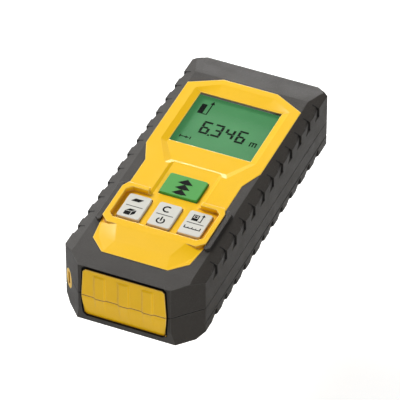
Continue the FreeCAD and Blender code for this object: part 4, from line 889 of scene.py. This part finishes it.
def heel_shadow_strips():
    """A thin dark strip along the heel's outline on both sides, just proud of the pocket's floor: painted
    shadow.
    """
    work = bmesh.new()
    for side in (1, -1):
        rings = []
        for x, z in HOOK:
            lifted = (x + HEEL_SHADOW_LIFT, x + HEEL_SHADOW_LIFT + INK)
            rings.append([work.verts.new((side * a * MM, -b * MM, z * MM))
                          for a in lifted for b in (0, HEEL_SHADOW_WIDTH)])
        for low, high in zip(rings, rings[1:]):
            for i, k in ((0, 1), (1, 3), (3, 2), (2, 0)):
                work.faces.new((low[i], low[k], high[k], high[i]))
        for ring in (rings[0], rings[-1]):
            work.faces.new((ring[0], ring[1], ring[3], ring[2]))
    bmesh.ops.recalc_face_normals(work, faces=work.faces)
    return meshed(work, "heel_shadow_strips")


# The strips carry the dark seal finish as painted shadow in the heels.
row("tread_seams", heel_shadow_strips(), TREAD_COUNT, (0, TREAD_HEEL_Y * MM, 0), (0, -TREAD_PITCH * MM, 0),
    "housing", "seal_rubber")
print("tread heel shadows:", TREAD_COUNT, "a side")

# %% [markdown]
# ## Painted shade in the gap round the end panel
# The rubber stops just short of the yellow end panel, and that narrow, deep gap lies in shade. The shade is
# painted: a thin ring in the dark seal finish lies on the gap's floor, following the panel's tapered outline,
# and a thin black skin on the panel's side walls paints the same shade there.

# %% Panel gap painted shade
PANEL_HALF, PANEL_END_HALF, PANEL_LOW, PANEL_HIGH, PARTING = 15.2, 14.6, 3.2, 23.6, 12.4
GAP, GAP_FLOOR, LINING_END, CORNER, LOW_SHARE = 0.55, -57.2, -58.2, 0.9, 0.3
UNDER_PANEL, SHADE_RING_THICK, SKIN_IN, SKIN_OUT = -0.2, 0.05, 0.03, 0.06


def panel_loop(grow):
    """The panel's outline, as X and Z in millimetres, grown outwards."""
    end, low, high = PANEL_END_HALF + grow, PANEL_LOW - grow * LOW_SHARE, PANEL_HIGH + grow
    right = [(end - CORNER, low), (end, low + CORNER), (PANEL_HALF + grow, PARTING), (end, high - CORNER),
             (end - CORNER, high)]
    return right + [(-x, z) for x, z in reversed(right)]


def gap_shade_ring():
    """A flat dark ring on the gap's floor, tucked a little under the panel: painted shade."""
    inside, outside = panel_loop(UNDER_PANEL), panel_loop(GAP)
    outlines = []
    for i in range(len(inside)):
        k = (i + 1) % len(inside)
        outlines.append([inside[i], inside[k], outside[k], outside[i]])
    mesh = plates(outlines, 0, SHADE_RING_THICK * MM)
    mesh.transform(Matrix.Rotation(math.radians(90), 4, "X"))
    mesh.transform(Matrix.Translation((0, GAP_FLOOR * MM, 0)))
    return mesh


def gap_wall_shade():
    """A thin black skin on the panel's side walls, from the gap's floor to the rubber's face: painted shade."""
    inside, outside = panel_loop(SKIN_IN), panel_loop(SKIN_OUT)
    work = bmesh.new()
    edges = ((inside, GAP_FLOOR), (outside, GAP_FLOOR), (outside, LINING_END), (inside, LINING_END))
    rings = [[work.verts.new((x * MM, y * MM, z * MM)) for x, z in loop] for loop, y in edges]
    for ring, after in zip(rings, rings[1:] + rings[:1]):
        for i in range(len(ring)):
            k = (i + 1) % len(ring)
            work.faces.new((ring[i], ring[k], after[k], after[i]))
    bmesh.ops.recalc_face_normals(work, faces=work.faces)
    return meshed(work, "lining")


# Both pieces take the dark seal finish as painted shade in the gap.
place("panel_gap_seal", gap_shade_ring(), "housing", "seal_rubber")
place("panel_gap_lining", gap_wall_shade(), "housing", "seal_rubber")
print("gap floor at", GAP_FLOOR)

# %% [markdown]
# ## Foam cushion in the battery cover
# A die-cut strip of open-cell foam keeps the cells quiet. It is cut from sheet, so its sides are straight, its
# rim is a little pinched, and its face is pillowed and pitted. A fine grid is pressed into that shape. The foam
# in the frame is a plain block.

# %% Foam cushion
ROWS, COLUMNS = 96, 50
RIM, PINCH, PIT, PIT_GRAIN = 1.1, 0.22, 0.07, 0.7


def cushion(low, high):
    """A closed foam slab inside a box: a pitted, pillowed top over a flat base."""
    work = bmesh.new()
    grid = []
    for j in range(ROWS + 1):
        line = []
        for i in range(COLUMNS + 1):
            x = low.x + (high.x - low.x) * i / COLUMNS
            y = low.y + (high.y - low.y) * j / ROWS
            rim = min(x - low.x, high.x - x, y - low.y, high.y - y) / MM
            pinch = PINCH * max(0.0, 1 - rim / RIM) ** 2
            pit = PIT * (0.5 + 0.5 * smooth_noise(Vector((x, y, 0)) / (PIT_GRAIN * MM)))
            line.append(work.verts.new((x, y, high.z - (pinch + pit) * MM)))
        grid.append(line)
    base = [[work.verts.new((v.co.x, v.co.y, low.z)) for v in line] for line in (grid[0], grid[-1])]
    sides = [[work.verts.new((line[k].co.x, line[k].co.y, low.z)) for line in grid[1:-1]]
             for k in (0, -1)]
    for a, b in zip(grid, grid[1:]):
        for i in range(COLUMNS):
            work.faces.new((a[i], a[i + 1], b[i + 1], b[i]))
    left = [base[0][0], *sides[0], base[1][0]]
    right = [base[0][-1], *sides[1], base[1][-1]]
    for under, over in ((base[0], grid[0]), (base[1], grid[-1]), (left, [g[0] for g in grid]),
                        (right, [g[-1] for g in grid])):
        for i in range(len(under) - 1):
            work.faces.new((under[i], under[i + 1], over[i + 1], over[i]))
    work.faces.new([*base[0], *right[1:-1], *reversed(base[1]), *reversed(left[1:-1])])
    bmesh.ops.recalc_face_normals(work, faces=work.faces)
    mesh = meshed(work, "cushion")
    mesh.shade_smooth()
    return mesh


pad = place("battery_cushion", cushion(*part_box("cover_pad")), "battery_cover", "foam_grey", "cover_pad")
print("foam faces:", len(pad.data.polygons))
